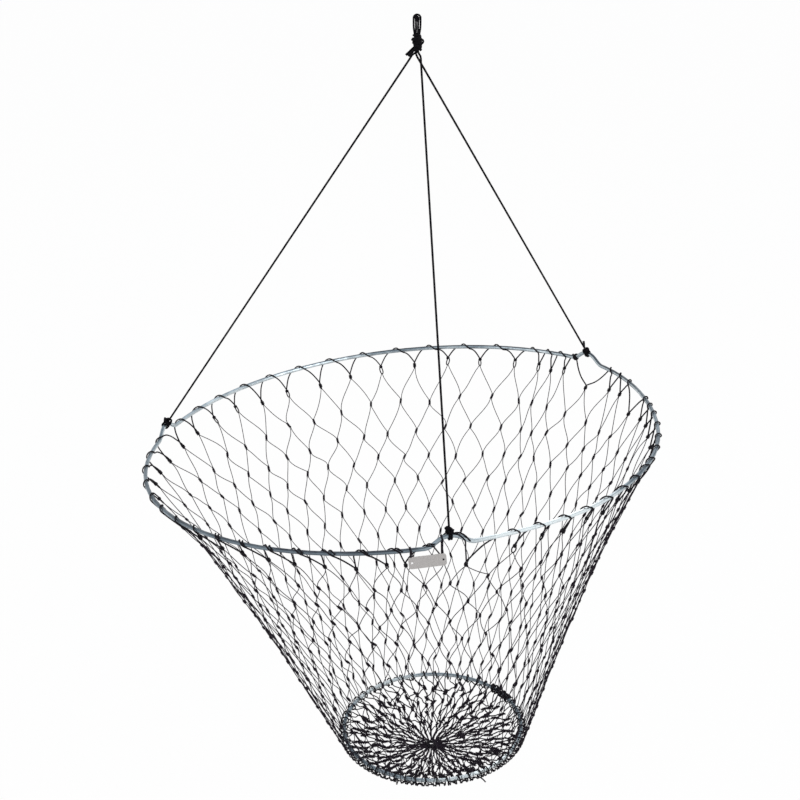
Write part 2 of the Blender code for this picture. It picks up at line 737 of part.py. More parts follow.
make_upper_hoop()
make_lower_hoop()
make_net_wall()
make_net_bottom()
make_gather_knot()
make_upper_lacing()
make_lower_lacing()
make_end_knot("upper_lacing_knot", UPPER, end_knot_azimuth(), "hoop")
make_end_knot("lower_lacing_knot", LOWER, mesh_azimuth(LOWER_LACING_START - 0.75), "base")
make_hanging_loop()
make_apex_knot()
TAIL_WAYS = ((-0.9, -0.5, -0.3), (0.2, 0.2, 0.9), (0.2, 0.3, 0.9))
for leg, leg_name in enumerate(LEG_NAMES):
    make_bridle_leg(leg_name, LEG_AZIMUTHS[leg], STRAND_AZIMUTHS[leg], LEG_LEADS[leg])
    make_bridle_hitch(leg_name, LEG_AZIMUTHS[leg], TAIL_WAYS[leg])
make_plate()
make_plate_tie("left", -1)
make_plate_tie("right", 1)
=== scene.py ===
"""Bridge net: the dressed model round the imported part, laid out as an add-on and run as a script.

Metres, in the part's frame: +Z up, the origin inside the top of the hanging eye, +Y away from the
front bridle leg. Azimuths run round the net's axis from +X towards +Y.
"""

import math

import bpy
import numpy as np
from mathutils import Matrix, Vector
from bpy.props import FloatProperty, FloatVectorProperty, IntProperty, PointerProperty


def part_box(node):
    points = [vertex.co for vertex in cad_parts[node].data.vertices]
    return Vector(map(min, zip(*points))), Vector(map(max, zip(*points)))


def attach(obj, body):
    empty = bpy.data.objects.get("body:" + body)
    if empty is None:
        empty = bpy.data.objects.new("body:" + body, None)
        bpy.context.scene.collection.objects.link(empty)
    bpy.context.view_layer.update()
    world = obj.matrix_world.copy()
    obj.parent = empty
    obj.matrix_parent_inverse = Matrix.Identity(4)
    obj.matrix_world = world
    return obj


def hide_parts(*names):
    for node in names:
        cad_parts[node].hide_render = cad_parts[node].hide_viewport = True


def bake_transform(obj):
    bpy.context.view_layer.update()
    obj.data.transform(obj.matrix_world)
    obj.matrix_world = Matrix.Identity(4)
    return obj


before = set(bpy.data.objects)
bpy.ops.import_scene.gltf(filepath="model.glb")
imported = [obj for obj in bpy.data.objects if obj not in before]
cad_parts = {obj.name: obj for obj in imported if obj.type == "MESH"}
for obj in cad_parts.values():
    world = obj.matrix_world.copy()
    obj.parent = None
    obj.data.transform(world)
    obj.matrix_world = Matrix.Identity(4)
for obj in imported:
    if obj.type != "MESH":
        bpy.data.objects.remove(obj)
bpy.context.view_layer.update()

bl_info = {
    "name": "Bridge Net",
    "version": (1, 0, 0),
    "blender": (4, 5, 0),
    "location": "3D View > Sidebar > Bridge Net",
    "description": "Dresses a two-hoop drop net: netting, lacing, bridle cords, knots and plate",
    "category": "Add Mesh",
}

# The part's own sizes, as its source has them
HOOP_DROP = 0.6677
HOOP_OFFSET_X = -0.0155
UPPER_HOOP_RADIUS = 0.4064
LOWER_HOOP_RADIUS = 0.149
LOWER_HOOP_OFFSET_X = 0.0463
NET_DEPTH = 0.548
ROD_RADIUS = 0.003175
CORD_RADIUS = 0.0015
CREST_HEIGHT = 0.014
CREST_FLAT = 0.008
CREST_FLANK = 0.032
# Where the upper ring isn't round: the azimuth, how far round that reaches, and the change of radius
OUT_OF_ROUND = (
    (math.radians(5), math.radians(45), -0.020),
    (math.radians(-52), math.radians(22), 0.008),
)
LEG_NAMES = ("front", "right", "left")
LEG_AZIMUTHS = [math.radians(degrees) for degrees in (-81.4, 40.2, 163.0)]
KNOT_TOP = -0.0255
KNOT_FOOT = -0.049
LEG_REACH = 0.001905
TAIL_REACH = 0.00381
# Strands and cut ends round the apex knot's axis, and the points that they pass below its foot
STRAND_AZIMUTHS = [math.radians(degrees) for degrees in (-30, -150, 90)]
CUT_END_AZIMUTHS = [math.radians(degrees) for degrees in (-90, 30, 150)]
LEG_LEADS = (
    ((0.0052, -0.0035, -0.0555),),
    ((-0.0002, 0.0003, -0.0555),),
    ((-0.0005, 0.0045, -0.0512), (-0.0064, 0.0070, -0.0558)),
)
CUT_END_LEADS = (
    ((-0.0046, -0.0050, -0.0460), (-0.0122, -0.0068, -0.0536)),
    ((0.0046, 0.0022, -0.0460), (0.0060, 0.0022, -0.0480)),
    ((-0.0078, 0.0012, -0.0466), (-0.0155, 0.0005, -0.0542)),
)
SEAT_GAP = 0.0003
UP = np.array((0.0, 0.0, 1.0))
FULL_TURN = 2 * math.pi

# Runs of hitches round the upper hoop: first azimuth and step in degrees, how many, and where each
# mesh hangs, from its own hitch at 0 to the following one at 1
HITCH_RUNS = (
    (45.0, 3.85, 4, 0.5),
    (66.5, 8.45, 6, 0.52),
    (117.0, 7.85, 5, 0.65),
    (156.25, 8.0, 1, 0.45),
    (167.3, 8.0, 4, 0.4),
    (199.5, 7.2, 4, 0.72),
    (228.0, 6.55, 6, 0.75),
    (267.3, 6.55, 1, 0.37),
    (273.85, 6.0, 1, 0.67),
    (279.2, 6.0, 1, 0.26),
    (291.0, 5.55, 8, 0.28),
    (333.5, 6.6, 5, 0.4),
    (365.0, 4.5, 2, 0.5),
    (381.5, 4.9, 3, 0.5),
)
# The azimuth of the hitch that passes behind the front crest's knot, and its length along the rod
LONG_HITCH_AZIMUTH = math.radians(279.2)
LONG_HITCH_REACH = 0.033
# A hitch's way over the rod: the share of its length, the angle round the rod in degrees, and how far it
# stands off. Then the same for the long hitch
HITCH_OVER = ((0.0, 205, 0), (0.25, 150, 0.0002), (0.5, 95, 0.0004), (0.75, 45, 0.0003), (1.0, -5, 0))
LONG_HITCH_OVER = ((0.0, 205, 0), (0.25, 150, 0.0012), (0.45, 95, 0.0004), (0.7, 40, 0.0002), (1.0, -15, 0))
# How far along the rod each hitch's second strand lies from the first
LACING_PAIR = 0.0019
# How far the lacing stands off the netting on each face
LACING_STAND_OFF = 0.0012
# Half the width and half the height of the meshes' heads that are tied close, of those that hang open, and
# of the largest one, which hangs from the hitch after the long one
TIED_HEAD = (0.0010, 0.0042)
OPEN_HEAD = (0.0021, 0.0056)
LARGEST_HEAD = (0.0034, 0.0086)
# How many of the heads hang open
OPEN_SHARE = 0.35
# Between these azimuths, in degrees, the lacing passes over the rod in two strands
DOUBLE_LACING = (222, 286)
# Where two hitches stand further apart than the first, the mesh between them hangs lower, and further apart
# than the second, the lacing between them sags the other way
WIDE_GAP = math.radians(11.5)
WIDEST_GAP = math.radians(13)
# How much lower down the wall the heads of the long hitch and of the one after it hang
LONG_HITCH_DROP = (0.006, 0.018)
# Where the heads at the back hang lower and the row under them higher: the middle, and how far round
SLACK_HEADS = (math.radians(116), math.radians(19))
# How far down the wall each row of net knots hangs, from the upper rod at 0 to the lower at 1
KNOT_ROWS = (0.055, 0.155, 0.235, 0.31, 0.39, 0.47, 0.55, 0.64, 0.72, 0.805, 0.89, 0.955)
# How far the wall hangs inside the straight line between the hoops, on the left and on the right
WALL_SHARES = (0.0, 0.08, 0.15, 0.25, 0.4, 0.58, 0.75, 0.9, 1.0)
WALL_INWARD_LEFT = (0.0, 0.0085, 0.0160, 0.0165, 0.0135, 0.0100, 0.0020, -0.0045, -0.0090)
WALL_INWARD_RIGHT = (0.0, 0.0020, 0.0040, 0.0070, 0.0075, 0.0040, 0.0, -0.0060, -0.0090)
# The fold of netting under the lower rod: outward and up from the rod's centre
FOLD = ((0.0090, 0.0), (0.0078, -0.0048), (0.0035, -0.0082), (-0.0030, -0.0092))
# Knot rows in the bottom, from the rim inwards: each row's radius, and its knots' size beside the wall's.
# Then the gathered middle, how many bunches the bars draw together in, and the sag
BOTTOM_ROWS = ((0.130, 1.36), (0.115, 1.50), (0.097, 1.46), (0.076, 1.26), (0.053, 0.94), (0.033, 0.60))
GATHER_RADIUS = 0.009
BUNCHES = 24
GATHER_SHIFT = (-0.003, -0.008, 0.0)
BOTTOM_SAG = 0.034
# The clump of turns where the lower lacing is made fast: its azimuth, how many windings, and their spacing
CLUMP = math.radians(37)
CLUMP_WINDINGS = 7
CLUMP_SPACING = 0.0068
# Corners round each kind of tube, the spacing of a cord's rings, and how deep its braid is cut
CORD_SIDES = 16
LACING_SIDES = 6
TWINE_SIDES = 5
CORD_RING = 0.0007
BRAID = 0.06
WHITE = (1.0, 1.0, 1.0)
# How each hoop's zinc is painted round the net's axis: azimuth in degrees, the tone of its painted
# reflections from 0 for bright to 1 for dark, and how much darker its upper side is painted as shade
ZINC_PAINTED_REFLECTIONS = (
    (-180, 0.10, 0.45), (-163, 0.24, 0.40), (-148, 0.56, 0.34), (-90, 0.60, 0.34), (-74, 0.00, 0.10),
    (-46, 0.04, 0.20), (-36, 0.40, 0.30), (-20, 0.42, 0.30), (-8, 0.16, 0.35), (12, 0.20, 0.50),
    (24, 0.26, 0.70), (70, 0.26, 0.70), (96, 0.20, 0.65), (122, 0.04, 0.60), (152, 0.04, 0.50),
    (180, 0.10, 0.45),
)
# The lower hoop's painted reflections and painted shade, in the same columns
LOWER_ZINC_PAINTED_REFLECTIONS = (
    (-180, 0.40, 0.25), (-163, 0.46, 0.25), (-133, 0.62, 0.25), (-116, 0.44, 0.25), (-91, 0.30, 0.25),
    (-73, 0.12, 0.15), (-56, 0.02, 0.08), (-41, 0.02, 0.08), (-21, 0.25, 0.20), (-1, 0.38, 0.25),
    (13, 0.46, 0.30), (54, 0.44, 0.35), (74, 0.38, 0.35), (90, 0.12, 0.25), (108, 0.00, 0.10),
    (136, 0.02, 0.10), (150, 0.25, 0.25), (180, 0.40, 0.25),
)
# The apex knot's turns: centre line's reach and height on the left, on the right, and where it starts
KNOT_TURNS = (
    (0.0050, -0.0262, 0.0036, -0.0254, 200),
    (0.0060, -0.0294, 0.0050, -0.0282, 60),
    (0.0070, -0.0322, 0.0062, -0.0310, 240),
    (0.0056, -0.0352, 0.0089, -0.0342, 130),
    (0.0042, -0.0388, 0.0064, -0.0380, 10),
    (0.0036, -0.0416, 0.0058, -0.0410, 250),
    (0.0030, -0.0440, 0.0036, -0.0436, 90),
)
# Each crest knot's cut end: outward, up and along the rod
CREST_ENDS = (
    ((0.0045, 0.0050, 0.0020), (0.0045, 0.0085, 0.0042), (0.0035, 0.0112, 0.0052)),
    ((-0.0050, 0.0085, 0.0), (-0.0047, 0.0140, 0.0015), (-0.0042, 0.0225, 0.0030)),
    ((0.0010, 0.0050, 0.0), (0.0, 0.0095, 0.0), (-0.0010, 0.0128, 0.0)),
)


def length_property(name, description, default, least, most):
    return FloatProperty(
        name=name,
        description=description,
        default=default,
        min=least,
        max=most,
        unit="LENGTH",
        subtype="DISTANCE",
    )


class BridgeNetSizes(bpy.types.PropertyGroup):
    """Sizes of the netting, lacing and cords"""

    twine: length_property("Net Twine", "Diameter of the netting's twine", 0.0013, 0.0006, 0.003)
    knot: length_property("Net Knot", "Length of a net knot along the wall", 0.0100, 0.004, 0.015)
    lacing: length_property("Lacing Twine", "Diameter of the hoops' lacing", 0.0023, 0.001, 0.004)
    cord: length_property("Bridle Cord", "Diameter of the braided cord", 2 * CORD_RADIUS, 0.002, 0.006)
    slack: FloatProperty(
        name="Slack",
        description="How far the netting's bars bow between their knots",
        default=1.0,
        min=0.0,
        max=2.0,
        subtype="FACTOR",
    )
    seed: IntProperty(
        name="Seed",
        description="Chooses the small differences between meshes",
        default=7,
        min=0,
    )


def colour_property(name, description, default):
    return FloatVectorProperty(
        name=name,
        description=description,
        default=default,
        size=3,
        min=0.0,
        max=1.0,
        subtype="COLOR",
    )


class BridgeNetColours(bpy.types.PropertyGroup):
    """Colours of the finishes"""

    steel: colour_property("Galvanised Steel", "Colour of the hoops' bright zinc", (0.74, 0.81, 0.835))
    # Aged and dark zinc colour the hoops' weathered patches, and also their painted reflections and painted
    # shade
    aged: colour_property("Aged Zinc", "Colour of the hoops' weathered zinc", (0.19, 0.24, 0.28))
    dark: colour_property("Dark Zinc", "Colour of the hoops' darkest zinc", (0.040, 0.050, 0.064))
    cord: colour_property("Bridle Cord", "Colour of the braided cord", (0.0065, 0.0055, 0.008))
    twine: colour_property("Net Twine", "Colour of the netting", (0.015, 0.010, 0.017))
    lacing: colour_property("Lacing Twine", "Colour of the lacing", (0.012, 0.010, 0.014))
    plate: colour_property("Plate", "Colour of the blank name plate", (0.60, 0.57, 0.55))
    floor: colour_property("Floor", "Colour of the floor", (0.93, 0.93, 0.93))


def unit(vectors):
    return vectors / np.linalg.norm(vectors, axis=-1, keepdims=True)


def turn_between(azimuth, middle):
    """The signed turn from the second azimuth to the first, the short way round."""
    return (np.asarray(azimuth) - middle + math.pi) % FULL_TURN - math.pi


class Hoop:
    """A rod ring: its leaning plane, its centre line and points round the rod, for arrays of azimuths."""

    def __init__(self, centre, radius, rise_to_right, rise_to_front, crests=(), out_of_round=()):
        self.centre = np.array(centre)
        self.radius = radius
        self.normal = unit(np.array((-math.sin(rise_to_right), math.sin(rise_to_front), 1.0)))
        self.right = unit(np.array((1.0, 0.0, 0.0)) - self.normal * self.normal[0])
        self.back = np.cross(self.normal, self.right)
        self.crests = crests
        self.out_of_round = out_of_round

    def outward(self, azimuth):
        azimuth = np.asarray(azimuth)[..., None]
        return np.cos(azimuth) * self.right + np.sin(azimuth) * self.back

    def reach(self, azimuth):
        """The ring's radius at each azimuth."""
        reach = np.full(np.shape(azimuth), self.radius)
        for middle, span, change in self.out_of_round:
            share = np.minimum(np.abs(turn_between(azimuth, middle)) / span, 1)
            reach = reach + change / 2 * (1 + np.cos(math.pi * share))
        return reach

    def crest(self, azimuth):
        height = np.zeros(np.shape(azimuth))
        for middle in self.crests:
            run = np.abs(turn_between(azimuth, middle)) * self.radius
            climb = np.clip((run - CREST_FLAT / 2) / CREST_FLANK, 0, 1)
            height += CREST_HEIGHT / 2 * (1 + np.cos(math.pi * climb))
        return height

    def circle(self, azimuth, radius=None, lift=0.0):
        reach = np.asarray(self.reach(azimuth) if radius is None else radius)[..., None]
        return self.centre + reach * self.outward(azimuth) + np.asarray(lift)[..., None] * self.normal

    def rod(self, azimuth):
        return self.circle(azimuth, lift=self.crest(azimuth))

    def frame(self, azimuth):
        """The rod's centre, and the directions outward, up and along the rod."""
        step = 0.001
        azimuth = np.asarray(azimuth)
        along = unit(self.rod(azimuth + step) - self.rod(azimuth - step))
        outward = self.outward(azimuth)
        outward = unit(outward - along * (outward * along).sum(axis=-1, keepdims=True))
        return self.rod(azimuth), outward, np.cross(outward, along), along

    def line_from(self, azimuth):
        """For windings: the rod's centre, outward and up, at a distance along it from an azimuth."""
        return lambda distance: self.frame(azimuth + distance / self.radius)[:3]

    def section(self, azimuth, angle, distance):
        """Points round the rod: angle 0 is on its outer side and a right angle is on top."""
        centre, outward, up, _ = self.frame(azimuth)
        angle = np.asarray(angle)[..., None]
        distance = np.asarray(distance)[..., None]
        return centre + distance * (np.cos(angle) * outward + np.sin(angle) * up)


UPPER = Hoop(
    (HOOP_OFFSET_X, 0.0, -HOOP_DROP),
    UPPER_HOOP_RADIUS,
    math.radians(6.0),
    math.radians(5.7),
    LEG_AZIMUTHS,
    OUT_OF_ROUND,
)
LOWER = Hoop(
    (HOOP_OFFSET_X + LOWER_HOOP_OFFSET_X, 0.0, -HOOP_DROP - NET_DEPTH),
    LOWER_HOOP_RADIUS,
    math.radians(1.5),
    0.0,
)


def smooth(points, per_span):
    """Curves through the points: the last two axes are the points along each curve and X, Y, Z."""
    points = np.asarray(points, float)
    first = 2 * points[..., :1, :] - points[..., 1:2, :]
    last = 2 * points[..., -1:, :] - points[..., -2:-1, :]
    padded = np.concatenate((first, points, last), axis=-2)
    share = (np.arange(per_span) / per_span)[:, None]
    pieces = []
    for span in range(points.shape[-2] - 1):
        a, b, c, d = (padded[..., span + k, None, :] for k in range(4))
        pieces.append(
            0.5 * (2 * b + (c - a) * share + (2 * a - 5 * b + 4 * c - d) * share**2
                   + (3 * b - a - 3 * c + d) * share**3)
        )
    pieces.append(points[..., -1:, :])
    return np.concatenate(pieces, axis=-2)


def resample(points, spacing):
    """One curve's points again, at an even spacing along it."""
    travelled = np.concatenate(([0.0], np.cumsum(np.linalg.norm(np.diff(points, axis=0), axis=1))))
    count = max(2, round(travelled[-1] / spacing) + 1)
    places = np.linspace(0, travelled[-1], count)
    return np.stack([np.interp(places, travelled, points[:, k]) for k in range(3)], axis=1)


def shade_smooth(mesh):
    mesh.polygons.foreach_set("use_smooth", np.ones(len(mesh.polygons), bool))


def new_object(name, data):
    made = bpy.data.objects.new(name, data)
    bpy.context.scene.collection.objects.link(made)
    return made


class Twines:
    """Tubes gathered into one mesh. Its UV map Lay runs round the twine and, in diameters, along it."""

    def __init__(self):
        self.points = []
        self.faces = []
        self.lays = []
        self.total = 0

    def add(self, paths, radius, sides, face=None, braid=0.0):
        """Add tubes of one point count. face is a direction that the first corner looks in."""
        paths = np.asarray(paths, float)
        if paths.ndim == 2:
            paths = paths[None]
        tubes, rings, _ = paths.shape
        along = unit(np.gradient(paths, axis=1))
        if face is None:
            least = np.abs(along[:, 0]).argmin(axis=1)
            face = np.eye(3)[least]
        normal = np.broadcast_to(np.asarray(face, float), (tubes, 3))
        normals = []
        for ring in range(rings):
            tangent = along[:, ring]
            normal = unit(normal - tangent * (normal * tangent).sum(axis=1, keepdims=True))
            normals.append(normal)
        normals = np.stack(normals, axis=1)[:, :, None]
        others = np.cross(along[:, :, None], normals)
        around = np.arange(sides) / sides
        steps = np.linalg.norm(np.diff(paths, axis=1), axis=2)
        travelled = np.concatenate((np.zeros((tubes, 1)), np.cumsum(steps, axis=1)), axis=1)
        reach = np.broadcast_to(np.asarray(radius, float), (tubes, rings))[:, :, None]
        run = travelled / (2 * reach[:, :, 0])
        if braid:
            turn = FULL_TURN * 3 * around[None, None]
            pick = FULL_TURN * 0.42 * run[:, :, None]
            reach = reach * (1 - braid + braid * np.cos(turn + pick) * np.cos(turn - pick))
        angle = FULL_TURN * around[None, None, :, None]
        corners = paths[:, :, None] + reach[..., None] * (np.cos(angle) * normals + np.sin(angle) * others)
        self.points.append(corners.reshape(-1, 3))
        index = np.arange(tubes * rings * sides).reshape(tubes, rings, sides) + self.total
        nexts = np.roll(index, -1, axis=2)
        quads = np.stack((index[:, :-1], nexts[:, :-1], nexts[:, 1:], index[:, 1:]), axis=-1)
        self.faces += quads.reshape(-1, 4).tolist()
        u = np.broadcast_to(around, (tubes, rings - 1, sides))
        v = np.broadcast_to(run[:, :-1, None], u.shape)
        w = np.broadcast_to(run[:, 1:, None], u.shape)
        right = u + 1 / sides
        lay = np.stack((u, v, right, v, right, w, u, w), axis=-1)
        self.lays.append(lay.reshape(-1))
        self.faces += index[:, 0, ::-1].tolist()
        self.faces += index[:, -1].tolist()
        cap = np.stack((around, np.zeros(sides)), axis=1).reshape(-1)
        self.lays.append(np.tile(cap, 2 * tubes))
        self.total += tubes * rings * sides

    def add_cord(self, points, per_span, radius, thicker=None):
        """Add one braided cord through the points. thicker gives each ring's share from their number."""
        line = resample(smooth(points, per_span), CORD_RING)
        reach = radius * thicker(len(line)) if thicker else radius
        self.add(line, reach, CORD_SIDES, braid=BRAID)

    def piece(self, name, material, slot):
        """The mesh object, shaded smooth along its twines."""
        mesh = bpy.data.meshes.new(name)
        mesh.from_pydata(np.concatenate(self.points).tolist(), [], self.faces)
        mesh.uv_layers.new(name="Lay").data.foreach_set("uv", np.concatenate(self.lays))
        shade_smooth(mesh)
        mesh.set_sharp_from_angle(angle=math.radians(80))
        mesh.materials.append(material)
        piece = new_object(name, mesh)
        return piece


def winding(frame_at, turns, pitch, radius, steps, start=0.0):
    """Points of a helix round a line: frame_at gives the line's point and two directions across it."""
    points = []
    for step in range(round(turns * steps) + 1):
        turn = step / steps
        centre, side, other = frame_at(pitch * (turn - turns / 2))
        angle = start + FULL_TURN * turn
        points.append(centre + radius * (math.cos(angle) * side + math.sin(angle) * other))
    return np.array(points)


# Finishes


class Tree:
    """A shader node tree. What is fed to a node is a number, three numbers or another node's output."""

    def __init__(self, tree):
        self.nodes = tree.nodes
        self.links = tree.links

    def set(self, socket, value):
        if isinstance(value, bpy.types.NodeSocket):
            self.links.new(value, socket)
        elif socket.type == "RGBA":
            socket.default_value = (*value, 1.0)
        else:
            socket.default_value = value

    def feed(self, node, **inputs):
        """Feed a node's inputs, which are named with _ for a space."""
        for name, value in inputs.items():
            self.set(node.inputs[name.replace("_", " ")], value)
        return node

    def add(self, kind, **inputs):
        return self.feed(self.nodes.new("ShaderNode" + kind), **inputs)

    def maths(self, operation, *values):
        node = self.add("Math")
        node.operation = operation
        for socket, value in zip(node.inputs, values):
            self.set(socket, value)
        return node.outputs[0]

    def times(self, first, second):
        return self.maths("MULTIPLY", first, second)

    def minus(self, first, second):
        return self.maths("SUBTRACT", first, second)

    def plus(self, total, *others):
        for other in others:
            total = self.maths("ADD", total, other)
        return total

    def mix(self, share, first, second):
        """A colour between two: the second where the share is 1."""
        node = self.add("Mix")
        node.data_type = "RGBA"
        for index, value in ((0, share), (6, first), (7, second)):
            self.set(node.inputs[index], value)
        return node.outputs[2]

    def ramp(self, value, stops):
        """A colour read from stops: the place and the colour of each."""
        node = self.add("ValToRGB")
        elements = node.color_ramp.elements
        while len(elements) < len(stops):
            elements.new(0.5)
        for element, (place, colour) in zip(elements, stops):
            element.position = place
            element.color = (*colour, 1)
        self.set(node.inputs[0], value)
        return node.outputs[0]

    def spread(self, value, lowest, highest):
        """0 where the value is the lowest, and 1 where it is the highest."""
        return self.add("MapRange", Value=value, From_Min=lowest, From_Max=highest).outputs[0]

    def noise(self, scale, detail, roughness=0.5):
        """Noise over the object's own coordinates, from 0 to 1."""
        place = self.add("TexCoord").outputs["Object"]
        texture = self.add("TexNoise", Vector=place, Scale=scale, Detail=detail, Roughness=roughness)
        return texture.outputs["Fac"]

    def shared(self, build, **inputs):
        """The outputs of a shared node group, which is named after the function that builds it."""
        node = self.add("Group")
        node.node_tree = bpy.data.node_groups.get(build.__name__) or build(build.__name__)
        return self.feed(node, **inputs).outputs

    def bump(self, height, distance, strength):
        return self.add("Bump", Strength=strength, Distance=distance, Height=height).outputs["Normal"]


def node_group(name, inputs, outputs):
    """An empty shader node group: itself, its tree, what it is given, and the node of its outputs."""
    group = bpy.data.node_groups.new(name, "ShaderNodeTree")
    for socket, default in inputs.items():
        made = group.interface.new_socket(socket, in_out="INPUT", socket_type="NodeSocketFloat")
        made.default_value = default
    for socket in outputs:
        group.interface.new_socket(socket, in_out="OUTPUT", socket_type="NodeSocketFloat")
    given = group.nodes.new("NodeGroupInput").outputs
    return group, Tree(group), given, group.nodes.new("NodeGroupOutput")


def twisted_strands(name):
    """Twisted or braided strands: their crests and their fibres, read from the UV map Lay."""
    inputs = {"Strands": 3.0, "Twist": 0.5, "Braid": 0.0, "Fibre Scale": 2500.0}
    group, tree, given, out = node_group(name, inputs, ("Crest", "Fibre"))
    lay = tree.add("UVMap")
    lay.uv_map = "Lay"
    parts = tree.add("SeparateXYZ", Vector=lay.outputs["UV"]).outputs
    around = tree.times(parts["X"], given["Strands"])
    along = tree.times(parts["Y"], given["Twist"])
    waves = [
        tree.maths("ABSOLUTE", tree.maths("SINE", tree.times(phase, math.pi)))
        for phase in (tree.plus(around, along), tree.minus(around, along))
    ]
    crossed = tree.times(tree.times(waves[0], waves[1]), given["Braid"])
    laid = tree.times(waves[0], tree.minus(1.0, given["Braid"]))
    tree.feed(out, Crest=tree.plus(laid, crossed), Fibre=tree.noise(given["Fibre Scale"], 3.0, 0.6))
    return group


def weathering(name):
    """Broad dull patches and fine specks, for anything that has been handled and wet."""
    inputs = {"Patch Scale": 9.0, "Speck Scale": 260.0, "Specks": 0.35}
    group, tree, given, out = node_group(name, inputs, ("Patches", "Wear"))
    patches = tree.noise(given["Patch Scale"], 4.0, 0.55)
    specks = tree.noise(given["Speck Scale"], 2.0, 0.7)
    clear = tree.add("Clamp", Value=tree.times(tree.minus(specks, 0.55), 6.0)).outputs[0]
    tree.feed(out, Patches=tree.spread(patches, 0.35, 0.65), Wear=tree.times(clear, given["Specks"]))
    return group


def zinc_spangle(name):
    """The crystal spangle of hot-dip zinc: tone from cell to cell, and faint ridges between them."""
    group, tree, given, out = node_group(name, {"Cell Scale": 120.0}, ("Tone", "Ridge"))
    place = tree.add("TexCoord").outputs["Object"]
    cells, edges = (tree.add("TexVoronoi", Vector=place, Scale=given["Cell Scale"]) for _ in range(2))
    edges.feature = "DISTANCE_TO_EDGE"
    tone = tree.add("SeparateColor", Color=cells.outputs["Color"]).outputs[0]
    ridge = tree.maths("MINIMUM", tree.times(edges.outputs["Distance"], 8.0), 1.0)
    tree.feed(out, Tone=tone, Ridge=ridge)
    return group


def scaled(colour, share, lift=0.0):
    return tuple(min(1.0, value * share + lift) for value in colour)


def new_material(name, metallic):
    material = bpy.data.materials.new(name)
    material.use_nodes = True
    shader = material.node_tree.nodes["Principled BSDF"]
    shader.inputs["Metallic"].default_value = metallic
    return material, Tree(material.node_tree), shader


def strand_material(name, colour, strands, twist, braid, relief, gloss):
    """Black twine or cord: painted shade in the grooves between strands, paler worn crests, and a dry fibrous
    skin.
    """
    found = bpy.data.materials.get(name)
    if found:
        return found
    colour = tuple(colour)
    material, tree, shader = new_material(name, 0.0)
    lay = tree.shared(twisted_strands, Strands=strands, Twist=twist, Braid=braid)
    wear = tree.shared(weathering, Patch_Scale=14.0, Speck_Scale=900.0, Specks=0.5)
    tone = tree.times(lay["Crest"], lay["Fibre"])
    # Painted shade: the grooves between strands are darkened to less than half the twine's colour
    body = tree.mix(tree.times(tone, 1.6), scaled(colour, 0.45), colour)
    faded = tree.times(tree.times(wear["Patches"], tone), 0.7)
    height = tree.plus(lay["Crest"], tree.times(lay["Fibre"], 0.4))
    tree.feed(
        shader,
        Base_Color=tree.mix(faded, body, scaled(colour, 2.1, 0.005)),
        Roughness=tree.plus(tree.times(lay["Fibre"], 0.25), 0.6),
        Specular_IOR_Level=gloss,
        Sheen_Weight=0.3 * gloss,
        Sheen_Roughness=0.5,
        Normal=tree.bump(height, relief, 0.9),
    )
    return material


def cord_material(context):
    colour = context.scene.bridge_net_colours.cord
    return strand_material("black_cord_braid", colour, 8.0, 0.9, 1.0, 0.0003, 0.05)


def twine_material(context):
    colour = context.scene.bridge_net_colours.twine
    return strand_material("black_net_twine", colour, 3.0, 0.45, 0.0, 0.00018, 0.10)


def lacing_material(context):
    colour = context.scene.bridge_net_colours.lacing
    return strand_material("black_lacing_twine", colour, 3.0, 0.4, 0.0, 0.00025, 0.08)


def steel_material(context, name, rows):
    """Galvanised rod: bright zinc with painted reflections round the ring, painted shade on its upper side
    and underside, and uneven weathering.
    """
    colours = context.scene.bridge_net_colours
    material, tree, shader = new_material(name, 0.9)
    spangle = tree.shared(zinc_spangle, Cell_Scale=150.0)
    wear = tree.shared(weathering, Patch_Scale=16.0, Speck_Scale=420.0, Specks=0.6)
    place = tree.add("TexCoord").outputs
    round_ring = tree.add("TexGradient", Vector=place["Object"])
    round_ring.gradient_type = "RADIAL"
    # Each row's painted reflection tone round the ring, and how much painted shade darkens the rod's top
    # there
    stops = [(0.5 + degrees / 360, (ring_reflection, top_shade_amount, 0)) for degrees, ring_reflection, top_shade_amount in rows]
    ring_reflection, top_shade_amount, _ = tree.add("SeparateColor", Color=tree.ramp(round_ring.outputs["Fac"], stops)).outputs
    facing = tree.add("SeparateXYZ", Vector=place["Normal"]).outputs["Z"]
    # Painted shade: the rod's upper side darker by each row's amount, and its underside darker too
    painted_top_shade = tree.times(tree.spread(facing, 0.35, 0.80), top_shade_amount)
    painted_under_shade = tree.times(tree.spread(facing, -0.10, -0.65), 0.30)
    uneven = tree.times(tree.minus(wear["Patches"], 0.5), 0.22)
    cells = tree.times(tree.minus(spangle["Tone"], 0.5), 0.07)
    # The tone adds the painted reflections and painted shade to the weathered patches and the spangle
    tone = tree.plus(ring_reflection, painted_top_shade, painted_under_shade, uneven, cells)
    zinc = tree.ramp(tone, ((0.0, colours.steel), (0.5, colours.aged), (1.0, colours.dark)))
    tree.feed(
        shader,
        Base_Color=tree.mix(wear["Wear"], zinc, (0.10, 0.11, 0.12)),
        Roughness=tree.plus(tree.times(wear["Patches"], 0.18), 0.24, tree.times(spangle["Tone"], 0.08)),
        Normal=tree.bump(spangle["Ridge"], 0.00002, 0.2),
    )
    return material


